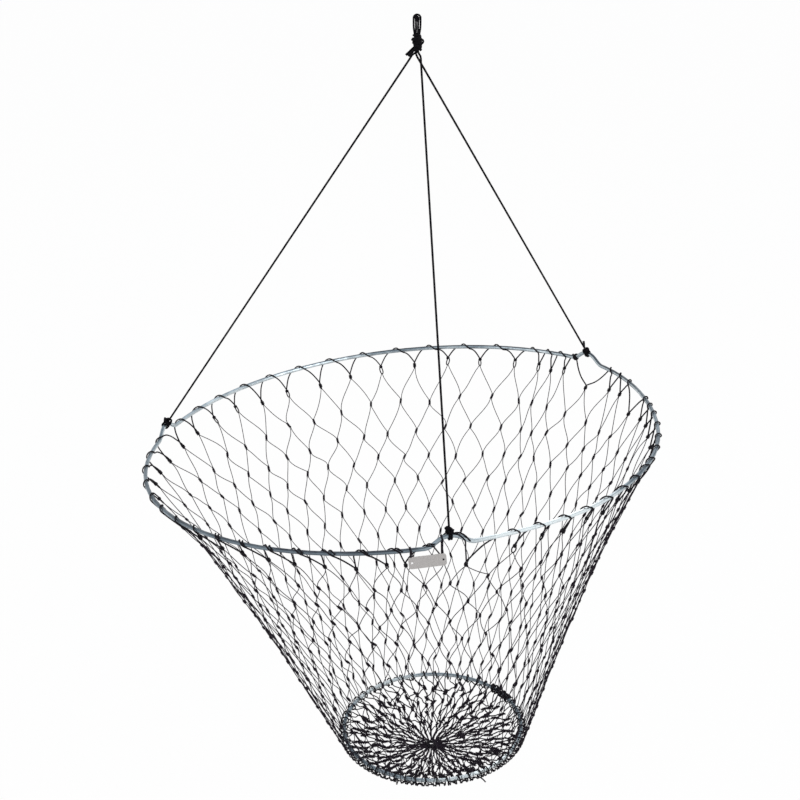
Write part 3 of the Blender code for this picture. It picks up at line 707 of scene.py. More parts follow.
def plate_material(context):
    """Thin bare plate: fine brushing along its length, with handling marks."""
    colour = tuple(context.scene.bridge_net_colours.plate)
    material, tree, shader = new_material("brushed_plate", 0.35)
    wear = tree.shared(weathering, Patch_Scale=60.0, Speck_Scale=700.0, Specks=0.45)
    place = tree.add("TexCoord").outputs["Object"]
    stretch = tree.add("Mapping", Vector=place, Scale=(60.0, 60.0, 4000.0)).outputs[0]
    grain = tree.add("TexNoise", Vector=stretch, Scale=1.0, Detail=4.0).outputs["Fac"]
    brushed = tree.mix(tree.times(grain, 0.7), scaled(colour, 0.75), colour)
    marked = tree.mix(tree.times(wear["Patches"], 0.4), brushed, scaled(colour, 0.85))
    tree.feed(
        shader,
        Base_Color=tree.mix(wear["Wear"], marked, (0.28, 0.27, 0.26)),
        Roughness=tree.plus(tree.times(grain, 0.2), 0.3),
        Normal=tree.bump(grain, 0.00003, 0.4),
    )
    return material


# The netting's layout


def wall_point(azimuth, share):
    """Points of the net's wall, from the upper rod at share 0 to outside the lower rod at 1."""
    left = (1 - np.cos(azimuth)) / 2
    inward = left * np.interp(share, WALL_SHARES, WALL_INWARD_LEFT)
    inward = inward + (1 - left) * np.interp(share, WALL_SHARES, WALL_INWARD_RIGHT)
    share = np.asarray(share, float)[..., None]
    top = UPPER.circle(azimuth)
    foot = LOWER.circle(azimuth)
    return top + (foot - top) * share - inward[..., None] * LOWER.outward(azimuth)


def wall_frame(azimuth, share):
    """Points of the wall with the directions across, down and out of it."""
    step = 0.002
    across = unit(wall_point(azimuth + step, share) - wall_point(azimuth - step, share))
    down = unit(wall_point(azimuth, share + step) - wall_point(azimuth, share - step))
    return wall_point(azimuth, share), across, down, np.cross(down, across)


def shifted(values, knots):
    """A row's values, each from so many knots further on. Azimuths keep on rising round the net."""
    moved = np.roll(values, -knots, axis=0)
    if values.ndim == 1 and knots > 0:
        moved[-knots:] += FULL_TURN
    elif values.ndim == 1 and knots < 0:
        moved[:-knots] -= FULL_TURN
    return moved


# Every hitch's azimuth, the following one's, where each mesh hangs between them, and which is the long one
HITCHES = np.radians([first + step * k for first, step, count, _ in HITCH_RUNS for k in range(count)])
FOLLOWING = shifted(HITCHES, 1)
HANGING = np.array([place for _, _, count, place in HITCH_RUNS for _ in range(count)])
LONG = int(np.abs(HITCHES - LONG_HITCH_AZIMUTH).argmin())


def net_rows(seed):
    """Azimuths and shares down the wall of every row of knots. Each knot hangs between two above it."""
    random = np.random.default_rng(seed)
    azimuths = HITCHES + HANGING * (FOLLOWING - HITCHES)
    meshes = len(azimuths)
    even = azimuths.mean() + FULL_TURN * (np.arange(meshes) - (meshes - 1) / 2) / meshes
    rows = []
    for number, share in enumerate(KNOT_ROWS):
        if number:
            way = 1 if number % 2 else -1
            even = even + way * math.pi / meshes
            azimuths = (azimuths + shifted(azimuths, way)) / 2
            azimuths = azimuths + (even - azimuths) * 0.05
        behind = np.exp(-((turn_between(azimuths, SLACK_HEADS[0]) / SLACK_HEADS[1]) ** 2))
        loose = random.normal(0, 0.07, meshes) * FULL_TURN / meshes * (1 - 0.5 * share)
        wave = 0.006 * np.sin(3 * azimuths + number) + random.normal(0, 0.0055, meshes)
        if number == 0:
            lower = 0.008 * np.maximum(0, -np.sin(azimuths)) + 0.017 * behind
            lower[LONG:LONG + 2] += LONG_HITCH_DROP
            apart = FOLLOWING - HITCHES > WIDE_GAP
            loose, wave = loose * 0.3, wave * 0.6 + 0.024 * apart + lower
        elif number < 3:
            wave = wave - 0.007 / number * (np.maximum(0, -np.cos(azimuths)) + behind)
        rows.append((azimuths + loose, share + wave))
    return rows


def mesh_heads(seed):
    """The netting's top loops: half the width and half the height of each, and which hang open."""
    random = np.random.default_rng(seed + 5)
    count = len(HITCHES)
    opened = random.random(count) < OPEN_SHARE
    opened[LONG + 1] = True
    sizes = np.where(opened[:, None], OPEN_HEAD, TIED_HEAD) * random.uniform(0.85, 1.15, (count, 1))
    sizes[LONG + 1] = LARGEST_HEAD
    return sizes[:, 0], sizes[:, 1], opened


# A net knot, drawn at this length: the bight that comes from above, and the twine from below that winds
# close round it. Then how much wider and how much thicker in its twine it is tied
KNOT_SPAN = 14.4
BIGHT = np.array(
    ((-0.9, 0, 7.2), (-0.9, 0, 3.6), (-0.8, 0.2, 0), (-0.6, 0.3, -3.6), (0, 0.3, -4.6), (0.6, 0.3, -3.6),
     (0.8, 0.2, 0), (0.9, 0, 3.6), (0.9, 0, 7.2))
)
TURNS = [
    (-1.5 * math.cos(angle), -1.5 * math.sin(angle), 4.2 * (angle / math.pi / 3 - 1))
    for angle in np.linspace(0, 6 * math.pi, 19)
]
LOCK = np.array([(-1.2, 0, -7.2), *TURNS, (0, 0, 3.4), (0.8, 0, 0), (0.9, 0, -4.6), (1.2, 0, -7.2)])
KNOT_WIDER = 1.35
KNOT_THICKER = 1.4


def add_net_knots(twines, frames, radius, size, random):
    """Tied knots at the given places, tilted and sized unevenly: gives the direction down each knot."""
    centre, across, down, out = frames
    count = len(centre)
    tilt = random.normal(0.13, 0.22, count)[:, None]
    along = unit(down * np.cos(tilt) + across * np.sin(tilt))
    side = np.cross(along, out)
    side *= np.sign((side * across).sum(axis=1, keepdims=True))
    scale = (random.uniform(0.9, 1.15, count) * size)[:, None, None]
    flip = random.choice((-1.0, 1.0), count)[:, None, None]
    for form in (BIGHT, LOCK):
        path = form / KNOT_SPAN
        points = (
            centre[:, None]
            + scale * KNOT_WIDER * path[None, :, 0:1] * side[:, None] * flip
            + scale * KNOT_WIDER * path[None, :, 1:2] * out[:, None]
            - scale * path[None, :, 2:3] * along[:, None]
        )
        twines.add(points, radius * KNOT_THICKER, TWINE_SIDES)
    return along


def bars_between(start, end, down_start, down_end, across, out, slack, random, spans):
    """Bars that leave and meet their knots near their chord, turned a little down, and bow on the way."""
    chord = end - start
    length = np.linalg.norm(chord, axis=1, keepdims=True)
    count = len(start)
    bow = random.normal(0, 0.16, (2, count, 1)) * slack
    puff = random.normal(0, 0.06, (2, count, 1)) * slack
    first = (0.80 * chord + 0.20 * length * down_start) + length * (bow[0] * across + puff[0] * out)
    last = (0.80 * chord + 0.20 * length * down_end) + length * (bow[1] * across + puff[1] * out)
    t = np.linspace(0, 1, spans + 1)[None, :, None]
    return (
        (2 * t**3 - 3 * t**2 + 1) * start[:, None]
        + (t**3 - 2 * t**2 + t) * first[:, None]
        + (3 * t**2 - 2 * t**3) * end[:, None]
        + (t**3 - t**2) * last[:, None]
    )


def bottom_point(azimuth, radius):
    """Points of the dished bottom, under the lower rod."""
    rim = LOWER_HOOP_RADIUS + FOLD[-1][0]
    depth = np.clip(1 - (np.asarray(radius) / rim) ** 2, 0, 1)
    sagged = LOWER.circle(azimuth, radius, FOLD[-1][1] - (BOTTOM_SAG + FOLD[-1][1]) * depth)
    return sagged + np.array(GATHER_SHIFT) * depth[..., None]


# Pieces


class BRIDGENET_OT_stage(bpy.types.Operator):
    """Set the camera, floor, backdrop and soft lights"""

    bl_idname = "bridge_net.stage"
    bl_label = "Stage"

    def execute(self, context):
        scene = context.scene
        camera = new_object("camera", bpy.data.cameras.new("camera"))
        camera.location = (-0.0240, -2.690, 0.7596)
        camera.rotation_euler = (math.radians(90 - 26.84), 0, 0)
        camera.data.sensor_width = 36
        camera.data.lens = 87.93
        camera.data.clip_end = 60
        scene.camera = camera
        self.floor(tuple(scene.bridge_net_colours.floor))
        scene.world = self.world()
        for name, place, aim, size, power in (
            ("key", (2.6, -2.4, 1.9), (0.1, 0, -0.8), 2.4, 62),
            ("fill", (-2.8, -1.6, 1.2), (0, 0, -0.7), 2.6, 20),
            ("rim", (0.6, 2.6, 1.8), (0, 0, -0.8), 2.2, 26),
        ):
            data = bpy.data.lights.new(name, "AREA")
            data.size = size
            data.energy = power
            lamp = new_object(name, data)
            lamp.location = place
            lamp.rotation_euler = (Vector(aim) - Vector(place)).to_track_quat("-Z", "Y").to_euler()
        scene.view_settings.view_transform = "Standard"
        return {"FINISHED"}

    def show_white(self, tree, lit, white, share, output):
        """Show white where the camera sees a surface directly, in a reflection or through glass."""
        path = tree.add("LightPath").outputs
        seen = tree.plus(path["Is Camera Ray"], path["Is Glossy Ray"], path["Is Transmission Ray"])
        seen = tree.times(tree.maths("MINIMUM", seen, 1.0), share)
        mixed = tree.add("MixShader")
        for socket, value in zip(mixed.inputs, (seen, lit.outputs[0], white.outputs[0])):
            tree.set(socket, value)
        tree.set(tree.nodes[output].inputs["Surface"], mixed.outputs[0])

    def floor(self, colour):
        """A pale floor that bends up into the backdrop."""
        reach, height, back, bend, top = 12.0, -1.75, 6.0, 1.5, 9.0
        profile = [(-reach, height), (back, height)]
        for degrees in range(10, 91, 10):
            angle = math.radians(degrees)
            profile.append((back + bend * math.sin(angle), height + bend * (1 - math.cos(angle))))
        profile.append((back + bend, top))
        points = [(side, y, z) for y, z in profile for side in (-reach, reach)]
        faces = [(2 * k, 2 * k + 1, 2 * k + 3, 2 * k + 2) for k in range(len(profile) - 1)]
        mesh = bpy.data.meshes.new("floor")
        mesh.from_pydata(points, [], faces)
        shade_smooth(mesh)
        floor = new_object("floor", mesh)
        material, tree, shader = new_material("pale_floor", 0.0)
        shade = tree.mix(tree.times(tree.noise(40.0, 3.0), 0.02), colour, scaled(colour, 0.9))
        tree.feed(shader, Base_Color=shade, Roughness=0.9, Specular_IOR_Level=0.0)
        self.show_white(tree, shader, tree.add("Emission", Color=WHITE), 0.97, "Material Output")
        mesh.materials.append(material)

    def world(self):
        world = bpy.data.worlds.new("studio")
        world.use_nodes = True
        tree = Tree(world.node_tree)
        light = tree.feed(tree.nodes["Background"], Color=(0.92, 0.95, 1.0), Strength=0.55)
        self.show_white(tree, light, tree.add("Background", Color=WHITE), 1.0, "World Output")
        return world


class BRIDGENET_OT_bridle(bpy.types.Operator):
    """Run the three taut braided legs from the apex knot to the hoop's crests"""

    bl_idname = "bridge_net.bridle"
    bl_label = "Bridle Legs"

    def execute(self, context):
        radius = context.scene.bridge_net_sizes.cord / 2
        material = cord_material(context)
        for leg, name in enumerate(LEG_NAMES):
            line = resample(smooth(leg_points(leg), 6), 0.003)
            twines = Twines()
            twines.add(line, radius * 1.06, 10, braid=0.04)
            braided = twines.piece(f"braided_leg_{name}", material, "black_braided_cord")
            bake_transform(braided)
            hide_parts(f"bridle_leg_{name}")
        return {"FINISHED"}


def leg_points(leg):
    """A leg's route: down inside the apex knot, past its leads, then straight to the crest."""
    crest = UPPER.rod(LEG_AZIMUTHS[leg])
    rise = unit(np.array((0.0, 0.0, KNOT_FOOT)) - crest)
    end = crest + rise * (ROD_RADIUS + 3 * CORD_RADIUS)
    place = STRAND_AZIMUTHS[leg]
    beside = LEG_REACH * np.array((math.cos(place), math.sin(place), 0.0))
    leads = [np.array(lead) for lead in LEG_LEADS[leg]]
    start = leads[-1] + unit(end - leads[-1]) * 0.010
    points = [beside + UP * (KNOT_FOOT + 0.011), beside + UP * KNOT_FOOT, *leads, start]
    points += [start + (end - start) * share for share in np.linspace(0, 1, 25)[1:]]
    return np.array(points)


class BRIDGENET_OT_hanging_eye(bpy.types.Operator):
    """Tie the hanging eye: three bights, the knot that binds them and its cut ends"""

    bl_idname = "bridge_net.hanging_eye"
    bl_label = "Hanging Eye"

    def execute(self, context):
        radius = context.scene.bridge_net_sizes.cord / 2
        material = cord_material(context)
        bights = Twines()
        spread = radius + SEAT_GAP / 2
        step = 2 * spread
        inner = radius + 0.0001
        outer = inner + step * math.cos(math.radians(28)) + 0.0004
        for reach, depth, half, knot_depth, shift in (
            (inner, -spread, step / 2, -step * 0.866, 0.0005),
            (outer, 0.0, step, 0.0, 0.0),
            (inner, spread, step / 2, step * 0.866, -0.0005),
        ):
            side = [
                (half, knot_depth, KNOT_FOOT + 0.011),
                (half, knot_depth, KNOT_TOP),
                (reach * 0.94, depth, KNOT_TOP * 0.6),
                (reach, depth, KNOT_TOP * 0.3),
            ]
            arc = [
                (reach * math.cos(angle) + shift, depth, reach * math.sin(angle) - 0.0004)
                for angle in np.linspace(0, math.pi, 9)
            ]
            mirrored = [(-x, y, z) for x, y, z in side[::-1]]
            bights.add_cord(side + arc + mirrored, 6, radius)
        eye = bights.piece("hanging_eye_bights", material, "black_braided_cord")
        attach(eye, "hanger")
        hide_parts("bight_front", "bight_right", "bight_left")

        knot = Twines()
        ring = np.arange(45)
        for left, left_height, right, right_height, start in KNOT_TURNS:
            angles = np.radians(start + np.linspace(0, 440, 45))
            tuck = np.clip(np.minimum(ring, ring[::-1]) / 5, 0, 1)
            tuck = 0.35 + 0.65 * tuck * (2 - tuck)
            half, middle = (left + right) / 2, (right - left) / 2
            height = (left_height + right_height) / 2 + (right_height - left_height) / 2 * np.cos(angles)
            points = (
                (half * np.cos(angles) + middle) * tuck,
                0.0066 * np.sin(angles) * tuck,
                height + 0.0012 * np.sin(2 * angles) + 0.0016 * (ring / 22 - 1),
            )
            knot.add_cord(np.stack(points, axis=1), 3, radius)
        tied = knot.piece("apex_knot_wraps", material, "black_braided_cord")
        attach(tied, "hanger")
        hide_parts("apex_knot")

        tails = Twines()
        for azimuth, leads in zip(CUT_END_AZIMUTHS, CUT_END_LEADS):
            beside = TAIL_REACH * np.array((math.cos(azimuth), math.sin(azimuth), 0.0))
            points = [beside + UP * (KNOT_FOOT + 0.012), beside + UP * (KNOT_FOOT + 0.007), *np.array(leads)]
            tails.add_cord(points, 8, radius * 1.2, lambda rings: np.linspace(0, 1, rings) ** 8 * 0.15 + 1)
        ends = tails.piece("apex_cut_ends", material, "black_braided_cord")
        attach(ends, "hanger")
        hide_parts("apex_tail_front", "apex_tail_right", "apex_tail_left")
        return {"FINISHED"}


class BRIDGENET_OT_crest_knots(bpy.types.Operator):
    """Tie each leg to its crest: round turns on the rod, half hitches on the leg, and a cut end"""

    bl_idname = "bridge_net.crest_knots"
    bl_label = "Crest Knots"

    def execute(self, context):
        radius = context.scene.bridge_net_sizes.cord / 2
        material = cord_material(context)
        pitch = 2 * radius + 0.0002
        for name, azimuth, cut_end in zip(LEG_NAMES, LEG_AZIMUTHS, CREST_ENDS):
            turn_radius = ROD_RADIUS + radius + 0.0001
            turns = winding(UPPER.line_from(azimuth), 2.0, pitch, turn_radius, 16, math.radians(75))
            crest, outward, up, along = UPPER.frame(azimuth)
            rise = unit(np.array((0.0, 0.0, KNOT_FOOT)) - crest)
            side = unit(np.cross(rise, outward))
            other = np.cross(rise, side)
            hitches = []
            for angle in np.radians(np.arange(-100, 2.9 * 360 - 100, 22.5)):
                run = (angle + math.radians(100)) / FULL_TURN
                swell = 2 * radius + 0.0006 + 0.0016 * math.sin(1.05 * run) ** 2
                lean = 0.0022 * math.cos(angle + 1.7 * run)
                spot = crest + rise * (ROD_RADIUS + radius + pitch * (0.10 + 0.70 * run) + lean)
                hitches.append(spot + swell * (math.cos(angle) * side + math.sin(angle) * other))
            bridge = (turns[-1] + hitches[0]) / 2 + outward * 0.001
            tail = [crest + outward * out + up * high + along * far for out, high, far in cut_end]
            path = np.vstack((turns, [bridge], hitches, tail))
            twines = Twines()
            twines.add_cord(path, 4, radius, self.frayed)
            knot = twines.piece(f"crest_knot_{name}", material, "black_braided_cord")
            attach(knot, "hoop")
            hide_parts(f"round_turn_{name}", f"half_hitch_{name}")
        return {"FINISHED"}

    def frayed(self, rings):
        """How much thicker each ring is, over the last dozen."""
        return 1 + 0.35 * np.clip((np.arange(rings) - rings + 12) / 6, 0, 1)


class BRIDGENET_OT_hoops(bpy.types.Operator):
    """Give both rod hoops their galvanised finish, with painted reflections and painted shade"""

    bl_idname = "bridge_net.hoops"
    bl_label = "Hoops"

    def execute(self, context):
        for name, rows in (("upper_hoop", ZINC_PAINTED_REFLECTIONS), ("lower_hoop", LOWER_ZINC_PAINTED_REFLECTIONS)):
            material = steel_material(context, f"galvanised_{name}", rows)
            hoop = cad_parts[name]
            hoop.data.materials.clear()
            hoop.data.materials.append(material)
            shade_smooth(hoop.data)
        return {"FINISHED"}


class BRIDGENET_OT_upper_lacing(bpy.types.Operator):
    """Lace the netting to the upper hoop: a slanting hitch over the rod, then down to each mesh"""

    bl_idname = "bridge_net.upper_lacing"
    bl_label = "Upper Lacing"

    def execute(self, context):
        sizes = context.scene.bridge_net_sizes
        radius = sizes.lacing / 2
        random = np.random.default_rng(sizes.seed + 1)
        count = len(HITCHES)
        heads, shares = net_rows(sizes.seed)[0]
        widths, heights, opened = mesh_heads(sizes.seed)
        slant = random.uniform(0.015, 0.023, count) * np.where(np.cos(HITCHES) > 0.9, 0.45, 1) / UPPER.radius
        slant[LONG] = LONG_HITCH_REACH / UPPER.radius
        reach = ROD_RADIUS + radius + 0.0002
        foot, across, down, out = wall_frame(heads, shares)
        path = []
        for k in range(count):
            hitch = HITCHES[k] + random.normal(0, 0.002)
            for share, angle, clear in LONG_HITCH_OVER if k == LONG else HITCH_OVER:
                azimuth = hitch + slant[k] * (share - 0.5)
                path.append(UPPER.section(azimuth, math.radians(angle), reach + clear))
            after = UPPER.section(FOLLOWING[k] - slant[(k + 1) % count] / 2, math.radians(205), reach)
            bow = -0.16 if FOLLOWING[k] - HITCHES[k] > WIDEST_GAP else 0.26
            meet = foot[k] - down[k] * (2 * heights[k] + radius)
            meets = [meet + face * LACING_STAND_OFF for face in (out[k], -out[k])]
            path += self.bowed(path[-1], meets[0], across[k], down[k], out[k], bow)
            path += [meets[0], meet + down[k] * (2.2 * radius), meets[1]]
            path += self.bowed(after, meets[1], across[k], down[k], -out[k], bow)[::-1]
        path.append(after)
        lacing = Twines()
        lacing.add(smooth(np.array(path), 3), radius, LACING_SIDES)

        angles = np.linspace(165, 5, 9)
        beside = LACING_PAIR + slant[:, None] * UPPER.radius * (0.65 - angles / 260)
        beside = HITCHES[:, None] + beside / UPPER.radius
        second = UPPER.section(beside, np.radians(angles) + np.zeros((count, 1)), np.full((count, 9), reach))
        first, last = np.radians(DOUBLE_LACING)
        lacing.add(smooth(second[(HITCHES > first) & (HITCHES < last)], 2), radius, LACING_SIDES)

        middle = foot - down * heights[:, None]
        turn = np.linspace(0, FULL_TURN, 13)
        tilt = random.normal(0, 0.12, count)[:, None]
        length = unit(down + across * tilt)
        width = np.cross(out, length)
        ring = (
            middle[:, None]
            + widths[:, None, None] * np.cos(turn)[None, :, None] * width[:, None]
            + heights[:, None, None] * np.sin(turn)[None, :, None] * length[:, None]
        )
        for strand in range(count):
            lacing.add(ring[strand], radius * 0.9, TWINE_SIDES, face=out[strand])
        collar_radius = 0.0021
        wraps = np.linspace(0, 3.2 * FULL_TURN, 30)
        bound = middle - down * (heights * np.where(opened, 1.0, 0.1))[:, None]
        length = np.where(opened, 0.0028, 1.3 * heights)[:, None, None]
        collar = (
            bound[:, None]
            + collar_radius * np.cos(wraps)[None, :, None] * across[:, None]
            + collar_radius * np.sin(wraps)[None, :, None] * out[:, None]
            + length * (wraps / wraps[-1] - 0.5)[None, :, None] * down[:, None]
        )
        lacing.add(collar, radius * 0.85, TWINE_SIDES)

        turns = winding(UPPER.line_from(HITCHES[0] - 0.012), 1.75, sizes.lacing * 1.06, reach, 12)
        lacing.add(smooth(turns, 2), radius, LACING_SIDES)
        piece = lacing.piece("upper_lacing_twine", lacing_material(context), "lacing_twine")
        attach(piece, "hoop")
        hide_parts("upper_lacing", "upper_lacing_knot")
        return {"FINISHED"}

    def bowed(self, rod_end, head_end, across, down, face, bow):
        """Two points of the lacing between the rod and a mesh's head, on one face of the netting."""
        strand = head_end - rod_end
        points = []
        for share in (0.3, 0.62):
            swell = 4 * share * (1 - share) * abs(strand @ across) * bow
            points.append(rod_end + strand * share - down * swell * 0.8 + face * 0.0008)
        return points


class BRIDGENET_OT_net_wall(bpy.types.Operator):
    """Hang the knotted wall of the net between the hoops"""

    bl_idname = "bridge_net.net_wall"
    bl_label = "Net Wall"

    def execute(self, context):
        sizes = context.scene.bridge_net_sizes
        radius = sizes.twine / 2
        random = np.random.default_rng(sizes.seed + 2)
        rows = net_rows(sizes.seed)
        frames = [wall_frame(azimuth, share) for azimuth, share in rows]
        twines = Twines()
        for number, (centre, across, _, out) in enumerate(frames[1:], 1):
            along = add_net_knots(twines, frames[number], radius, sizes.knot, random)
            frames[number] = (centre, across, along, out)
        reach = sizes.knot * 0.44
        for number, (centre, across, down, out) in enumerate(frames[:-1]):
            leave = reach if number else 0.0
            slack = sizes.slack * (1.25 if number < 4 else 0.9)
            for step, sign in ((0, 1.0), (-1, -1.0)):
                low, _, low_down, _ = (shifted(part, step + number % 2) for part in frames[number + 1])
                start = centre + down * leave + across * sign * radius
                end = low - low_down * reach - across * sign * radius
                bars = bars_between(start, end, down, low_down, across, out, slack, random, 7)
                twines.add(bars, radius, TWINE_SIDES)
        azimuth, _ = rows[-1]
        centre, across, down, out = frames[-1]
        quarter = math.pi / len(azimuth) / 2
        for sign in (1.0, -1.0):
            start = centre + down * reach + across * sign * radius
            end = wall_point(azimuth + sign * quarter, np.ones(len(azimuth)))
            bars = bars_between(start, end, down, down, across, out, 0.6, random, 4)
            twines.add(bars, radius, TWINE_SIDES)
        wall = twines.piece("net_wall_knotted", twine_material(context), "net_twine")
        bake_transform(wall)
        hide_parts("net_wall")
        return {"FINISHED"}


class BRIDGENET_OT_lower_lacing(bpy.types.Operator):
    """Wind the lacing round the lower hoop and the netting's fold"""

    bl_idname = "bridge_net.lower_lacing"
    bl_label = "Lower Lacing"

    def execute(self, context):
        sizes = context.scene.bridge_net_sizes
        radius = sizes.lacing / 2
        random = np.random.default_rng(sizes.seed + 3)
        azimuths, _ = net_rows(sizes.seed)[-1]
        reach = ROD_RADIUS + sizes.twine + radius * 0.8
        path = []
        for azimuth, following in zip(azimuths, shifted(azimuths, 1)):
            slant = random.uniform(0.002, 0.007) / LOWER.radius
            begin = math.radians(random.uniform(-80, -30))
            lead = random.uniform(0.95, 1.15) * FULL_TURN
            for share in np.linspace(0, 1, 9):
                under = max(0.0, math.cos(begin - lead * share + math.radians(60)))
                loose = reach + random.uniform(-0.0003, 0.0004) + 0.0034 * under
                place = azimuth + slant * (share - 0.5) + random.normal(0, 0.001)
                path.append(LOWER.section(place, begin - lead * share, loose))
            place = azimuth + 0.5 * (following - azimuth)
            path.append(LOWER.section(place, begin - lead + math.radians(25), reach + 0.0006))
        lacing = Twines()
        lacing.add(smooth(np.array(path), 2), radius, LACING_SIDES)

        for number in range(CLUMP_WINDINGS):
            shift = (number - 3) * CLUMP_SPACING / LOWER.radius
            count = 1.4 + 0.3 * (number % 3)
            distance = reach + 0.0006 * (number % 2)
            turns = winding(LOWER.line_from(CLUMP + shift), count, 0.0040, distance, 12, number * 2.0)
            turns += random.normal(0, 0.0009, turns.shape)
            lacing.add(smooth(turns, 2), radius, LACING_SIDES)
        for place, length, way in (
            (math.radians(-62), 0.016, (0.75, -0.35, -0.45)),
            (CLUMP, 0.010, (0.3, -0.5, 0.6)),
            (math.radians(-112), 0.008, (-0.4, -0.6, -0.5)),
        ):
            start = LOWER.section(place, math.radians(-60), reach)
            out = unit(np.array(way))
            points = [
                start + out * length * share + UP * 0.002 * math.sin(3 * share)
                for share in (0, 0.3, 0.7, 1)
            ]
            lacing.add(smooth(np.array(points), 3), radius, LACING_SIDES)
        piece = lacing.piece("lower_lacing_twine", lacing_material(context), "lacing_twine")
        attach(piece, "base")
        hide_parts("lower_lacing", "lower_lacing_knot")
        return {"FINISHED"}


class BRIDGENET_OT_net_bottom(bpy.types.Operator):
    """Fill the lower hoop with slack netting and gather its last meshes in the middle"""

    bl_idname = "bridge_net.net_bottom"
    bl_label = "Net Bottom"

    def execute(self, context):
        sizes = context.scene.bridge_net_sizes
        radius = sizes.twine / 2
        random = np.random.default_rng(sizes.seed + 4)
        wall_azimuths, _ = net_rows(sizes.seed)[-1]
        meshes = len(wall_azimuths)
        quarter = math.pi / meshes / 2
        rows = []
        for base, _ in BOTTOM_ROWS:
            bunched = (1 - base / LOWER_HOOP_RADIUS) * np.sin(wall_azimuths * BUNCHES) / BUNCHES
            loose = wall_azimuths - bunched + random.normal(0, 0.14, meshes) * FULL_TURN / meshes
            reach = base * (1 + random.normal(0, 0.045, meshes))
            rows.append((loose, reach))
        twines = Twines()
        frames = []
        for loose, reach in rows:
            centre = bottom_point(loose, reach)
            centre = centre + LOWER.normal * random.normal(0, 0.0016, (meshes, 1))
            outward = LOWER.outward(loose)
            across = np.cross(LOWER.normal, outward)
            frames.append((centre, across, -outward, np.broadcast_to(LOWER.normal, centre.shape)))
        for knots, (_, size) in zip(frames, BOTTOM_ROWS):
            add_net_knots(twines, knots, radius * min(1.0, size + 0.2), sizes.knot * size, random)
        for sign, knots in ((1.0, 0), (-1.0, -1)):
            rim_azimuth = wall_azimuths + sign * quarter
            fold = [LOWER.circle(rim_azimuth, LOWER_HOOP_RADIUS + out, up) for out, up in FOLD]
            centre = shifted(frames[0][0], knots)
            inner = [fold[-1] + (centre - fold[-1]) * share for share in (0.35, 0.7, 1.0)]
            for places in inner[:2]:
                places += random.normal(0, 0.0015, places.shape)
            twines.add(smooth(np.stack(fold + inner, axis=1), 2), radius * 1.45, TWINE_SIDES)
        for row, (centre, across, _, up) in enumerate(frames):
            thick = radius * (1.25 + 3.0 * BOTTOM_ROWS[row][0])
            narrow = np.linalg.norm(centre - LOWER.centre, axis=1, keepdims=True) / LOWER_HOOP_RADIUS
            for step, sign in ((0, 1.0), (-1, -1.0)):
                if row + 1 < len(frames):
                    end = shifted(frames[row + 1][0], step + (row + 1) % 2)
                else:
                    end = bottom_point(rows[-1][0], np.full(meshes, GATHER_RADIUS * 0.7))
                chord = end - centre
                points = [centre]
                for share, wide in ((0.2, 0.4), (0.4, 1), (0.6, 1), (0.8, 0.4)):
                    swing = wide * sign * random.uniform(-0.3, 1.0, (meshes, 1)) * 0.0026
                    lift = random.normal(0, 0.0010, (meshes, 1))
                    points.append(centre + chord * share + across * swing * sizes.slack * narrow + up * lift)
                points.append(end)
                twines.add(smooth(np.stack(points, axis=1), 2), thick, TWINE_SIDES)
        bottom = twines.piece("net_bottom_knotted", twine_material(context), "net_twine")
        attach(bottom, "base")
        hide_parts("net_bottom")

        gather = Twines()
        centre = bottom_point(np.array(0.0), np.array(0.0))
        for loop in range(6):
            lean = random.normal(0, 0.25, 2)
            turn = np.linspace(0, FULL_TURN * 1.1, 20) + loop
            width = GATHER_RADIUS * (1.1 - 0.13 * loop)
            points = (
                width * np.cos(turn) + random.normal(0, 0.0004, 20),
                width * np.sin(turn) + random.normal(0, 0.0004, 20),
                width * (lean[0] * np.cos(turn) + lean[1] * np.sin(turn)) + 0.001 * (loop - 2),
            )
            gather.add(smooth(centre + np.stack(points, axis=1), 2), sizes.lacing / 2, LACING_SIDES)
        drop = [(0, 0, 0), (0.001, 0, -0.003), (0.003, -0.001, -0.007), (0.004, -0.003, -0.010)]
        gather.add(smooth(centre + np.array(drop), 3), sizes.lacing / 2, LACING_SIDES)
        tied = gather.piece("gather_twine", lacing_material(context), "lacing_twine")
        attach(tied, "base")
        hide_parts("gather_knot")
        return {"FINISHED"}


class BRIDGENET_OT_name_plate(bpy.types.Operator):
    """Finish the blank name plate and tie it to the hoop"""

    bl_idname = "bridge_net.name_plate"
    bl_label = "Name Plate"

    def execute(self, context):
        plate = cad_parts["name_plate"]
        plate.data.materials.clear()
        plate.data.materials.append(plate_material(context))
        radius = context.scene.bridge_net_sizes.twine / 2
        names = ("plate_tie_left", "plate_tie_right")
        boxes = [[np.array(corner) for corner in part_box(name)] for name in names]
        front = UPPER.rod(np.radians(np.linspace(-95, -75, 2001)))
        seats = [front[np.abs(front[:, 0] - (low[0] + high[0]) / 2).argmin()] for low, high in boxes]
        swing = unit(seats[1] - seats[0])
        for name, (low, high), seat in zip(names, boxes, seats):
            outline = tie_outline(seat, low, high, swing, radius)
            twines = Twines()
            twines.add(resample(smooth(outline, 6), 0.0006), radius, 8)
            tie = twines.piece(name.replace("plate_tie", "twine_tie"), twine_material(context), "net_twine")
            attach(tie, "tag")
            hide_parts(name)
        return {"FINISHED"}


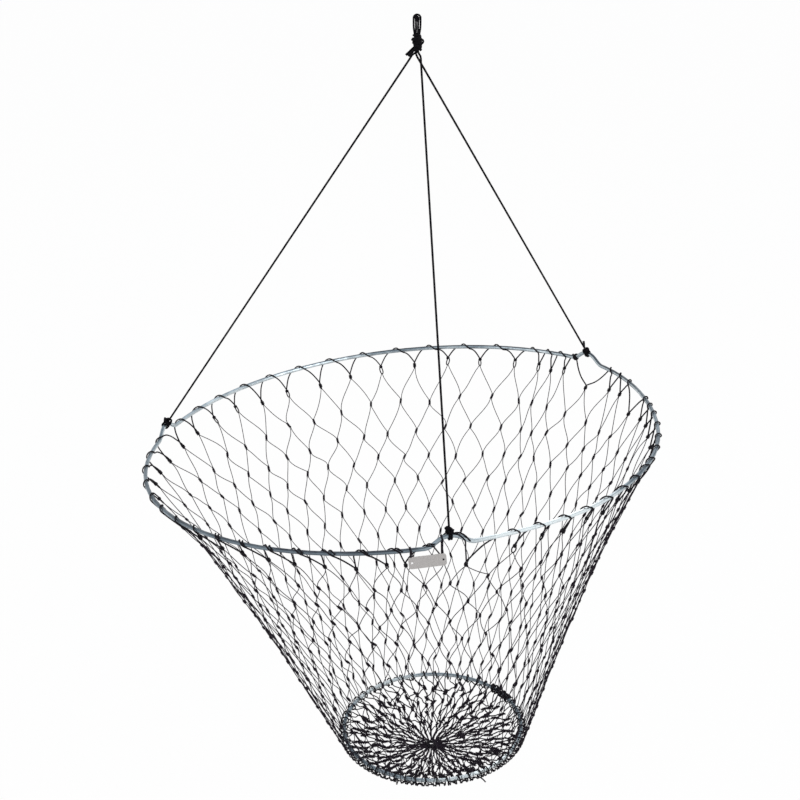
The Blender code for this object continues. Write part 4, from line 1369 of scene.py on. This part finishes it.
def tie_outline(seat, low, high, swing, radius):
    """Two turns of twine through the plate's hole and over the rod, round the line it swings about."""
    foot = np.array(((low[0] + high[0]) / 2, (low[1] + high[1]) / 2, low[2] + radius)) - seat
    drift = foot @ swing
    fall = np.linalg.norm(foot - swing * drift)
    down = (foot - swing * drift) / fall
    side = np.cross(swing, down)
    reach = ROD_RADIUS + radius + 0.0010
    touch = math.acos(reach / fall)
    strand = [(0.0, fall), (0.00085, fall - 0.0006), (0.00115, fall - 0.0020)]
    arc = [(reach * math.sin(angle), reach * math.cos(angle)) for angle in np.linspace(touch, math.pi, 9)]
    half = strand + arc
    turn = half + [(-across, below) for across, below in half[-2:0:-1]]
    apart = radius * 1.08
    points = []
    for beside in (apart, -apart):
        for across, below in turn:
            shift = beside + drift * max(0.0, below) / fall
            points.append(seat + side * across + down * below + swing * shift)
    points.append(seat + down * fall + swing * (drift - apart))
    return np.array(points)


class BRIDGENET_PT_panel(bpy.types.Panel):
    """Sizes, colours and pieces of the bridge net"""

    bl_idname = "BRIDGENET_PT_panel"
    bl_label = "Bridge Net"
    bl_space_type = "VIEW_3D"
    bl_region_type = "UI"
    bl_category = "Bridge Net"

    def draw(self, context):
        layout = self.layout
        for group in (context.scene.bridge_net_sizes, context.scene.bridge_net_colours):
            box = layout.box()
            for name in group.__annotations__:
                box.prop(group, name)
        for operator in PIECES:
            layout.operator(operator.bl_idname)


PIECES = (
    BRIDGENET_OT_stage,
    BRIDGENET_OT_bridle,
    BRIDGENET_OT_hanging_eye,
    BRIDGENET_OT_crest_knots,
    BRIDGENET_OT_hoops,
    BRIDGENET_OT_upper_lacing,
    BRIDGENET_OT_net_wall,
    BRIDGENET_OT_lower_lacing,
    BRIDGENET_OT_net_bottom,
    BRIDGENET_OT_name_plate,
)
CLASSES = (BridgeNetSizes, BridgeNetColours, *PIECES, BRIDGENET_PT_panel)


def register():
    for cls in CLASSES:
        bpy.utils.register_class(cls)
    bpy.types.Scene.bridge_net_sizes = PointerProperty(type=BridgeNetSizes)
    bpy.types.Scene.bridge_net_colours = PointerProperty(type=BridgeNetColours)


def unregister():
    del bpy.types.Scene.bridge_net_colours
    del bpy.types.Scene.bridge_net_sizes
    for cls in reversed(CLASSES):
        bpy.utils.unregister_class(cls)


def main():
    register()
    bpy.ops.bridge_net.stage()
    bpy.ops.bridge_net.bridle()
    bpy.ops.bridge_net.hanging_eye()
    bpy.ops.bridge_net.crest_knots()
    bpy.ops.bridge_net.hoops()
    bpy.ops.bridge_net.upper_lacing()
    bpy.ops.bridge_net.net_wall()
    bpy.ops.bridge_net.lower_lacing()
    bpy.ops.bridge_net.net_bottom()
    bpy.ops.bridge_net.name_plate()


if __name__ == "__main__":
    main()
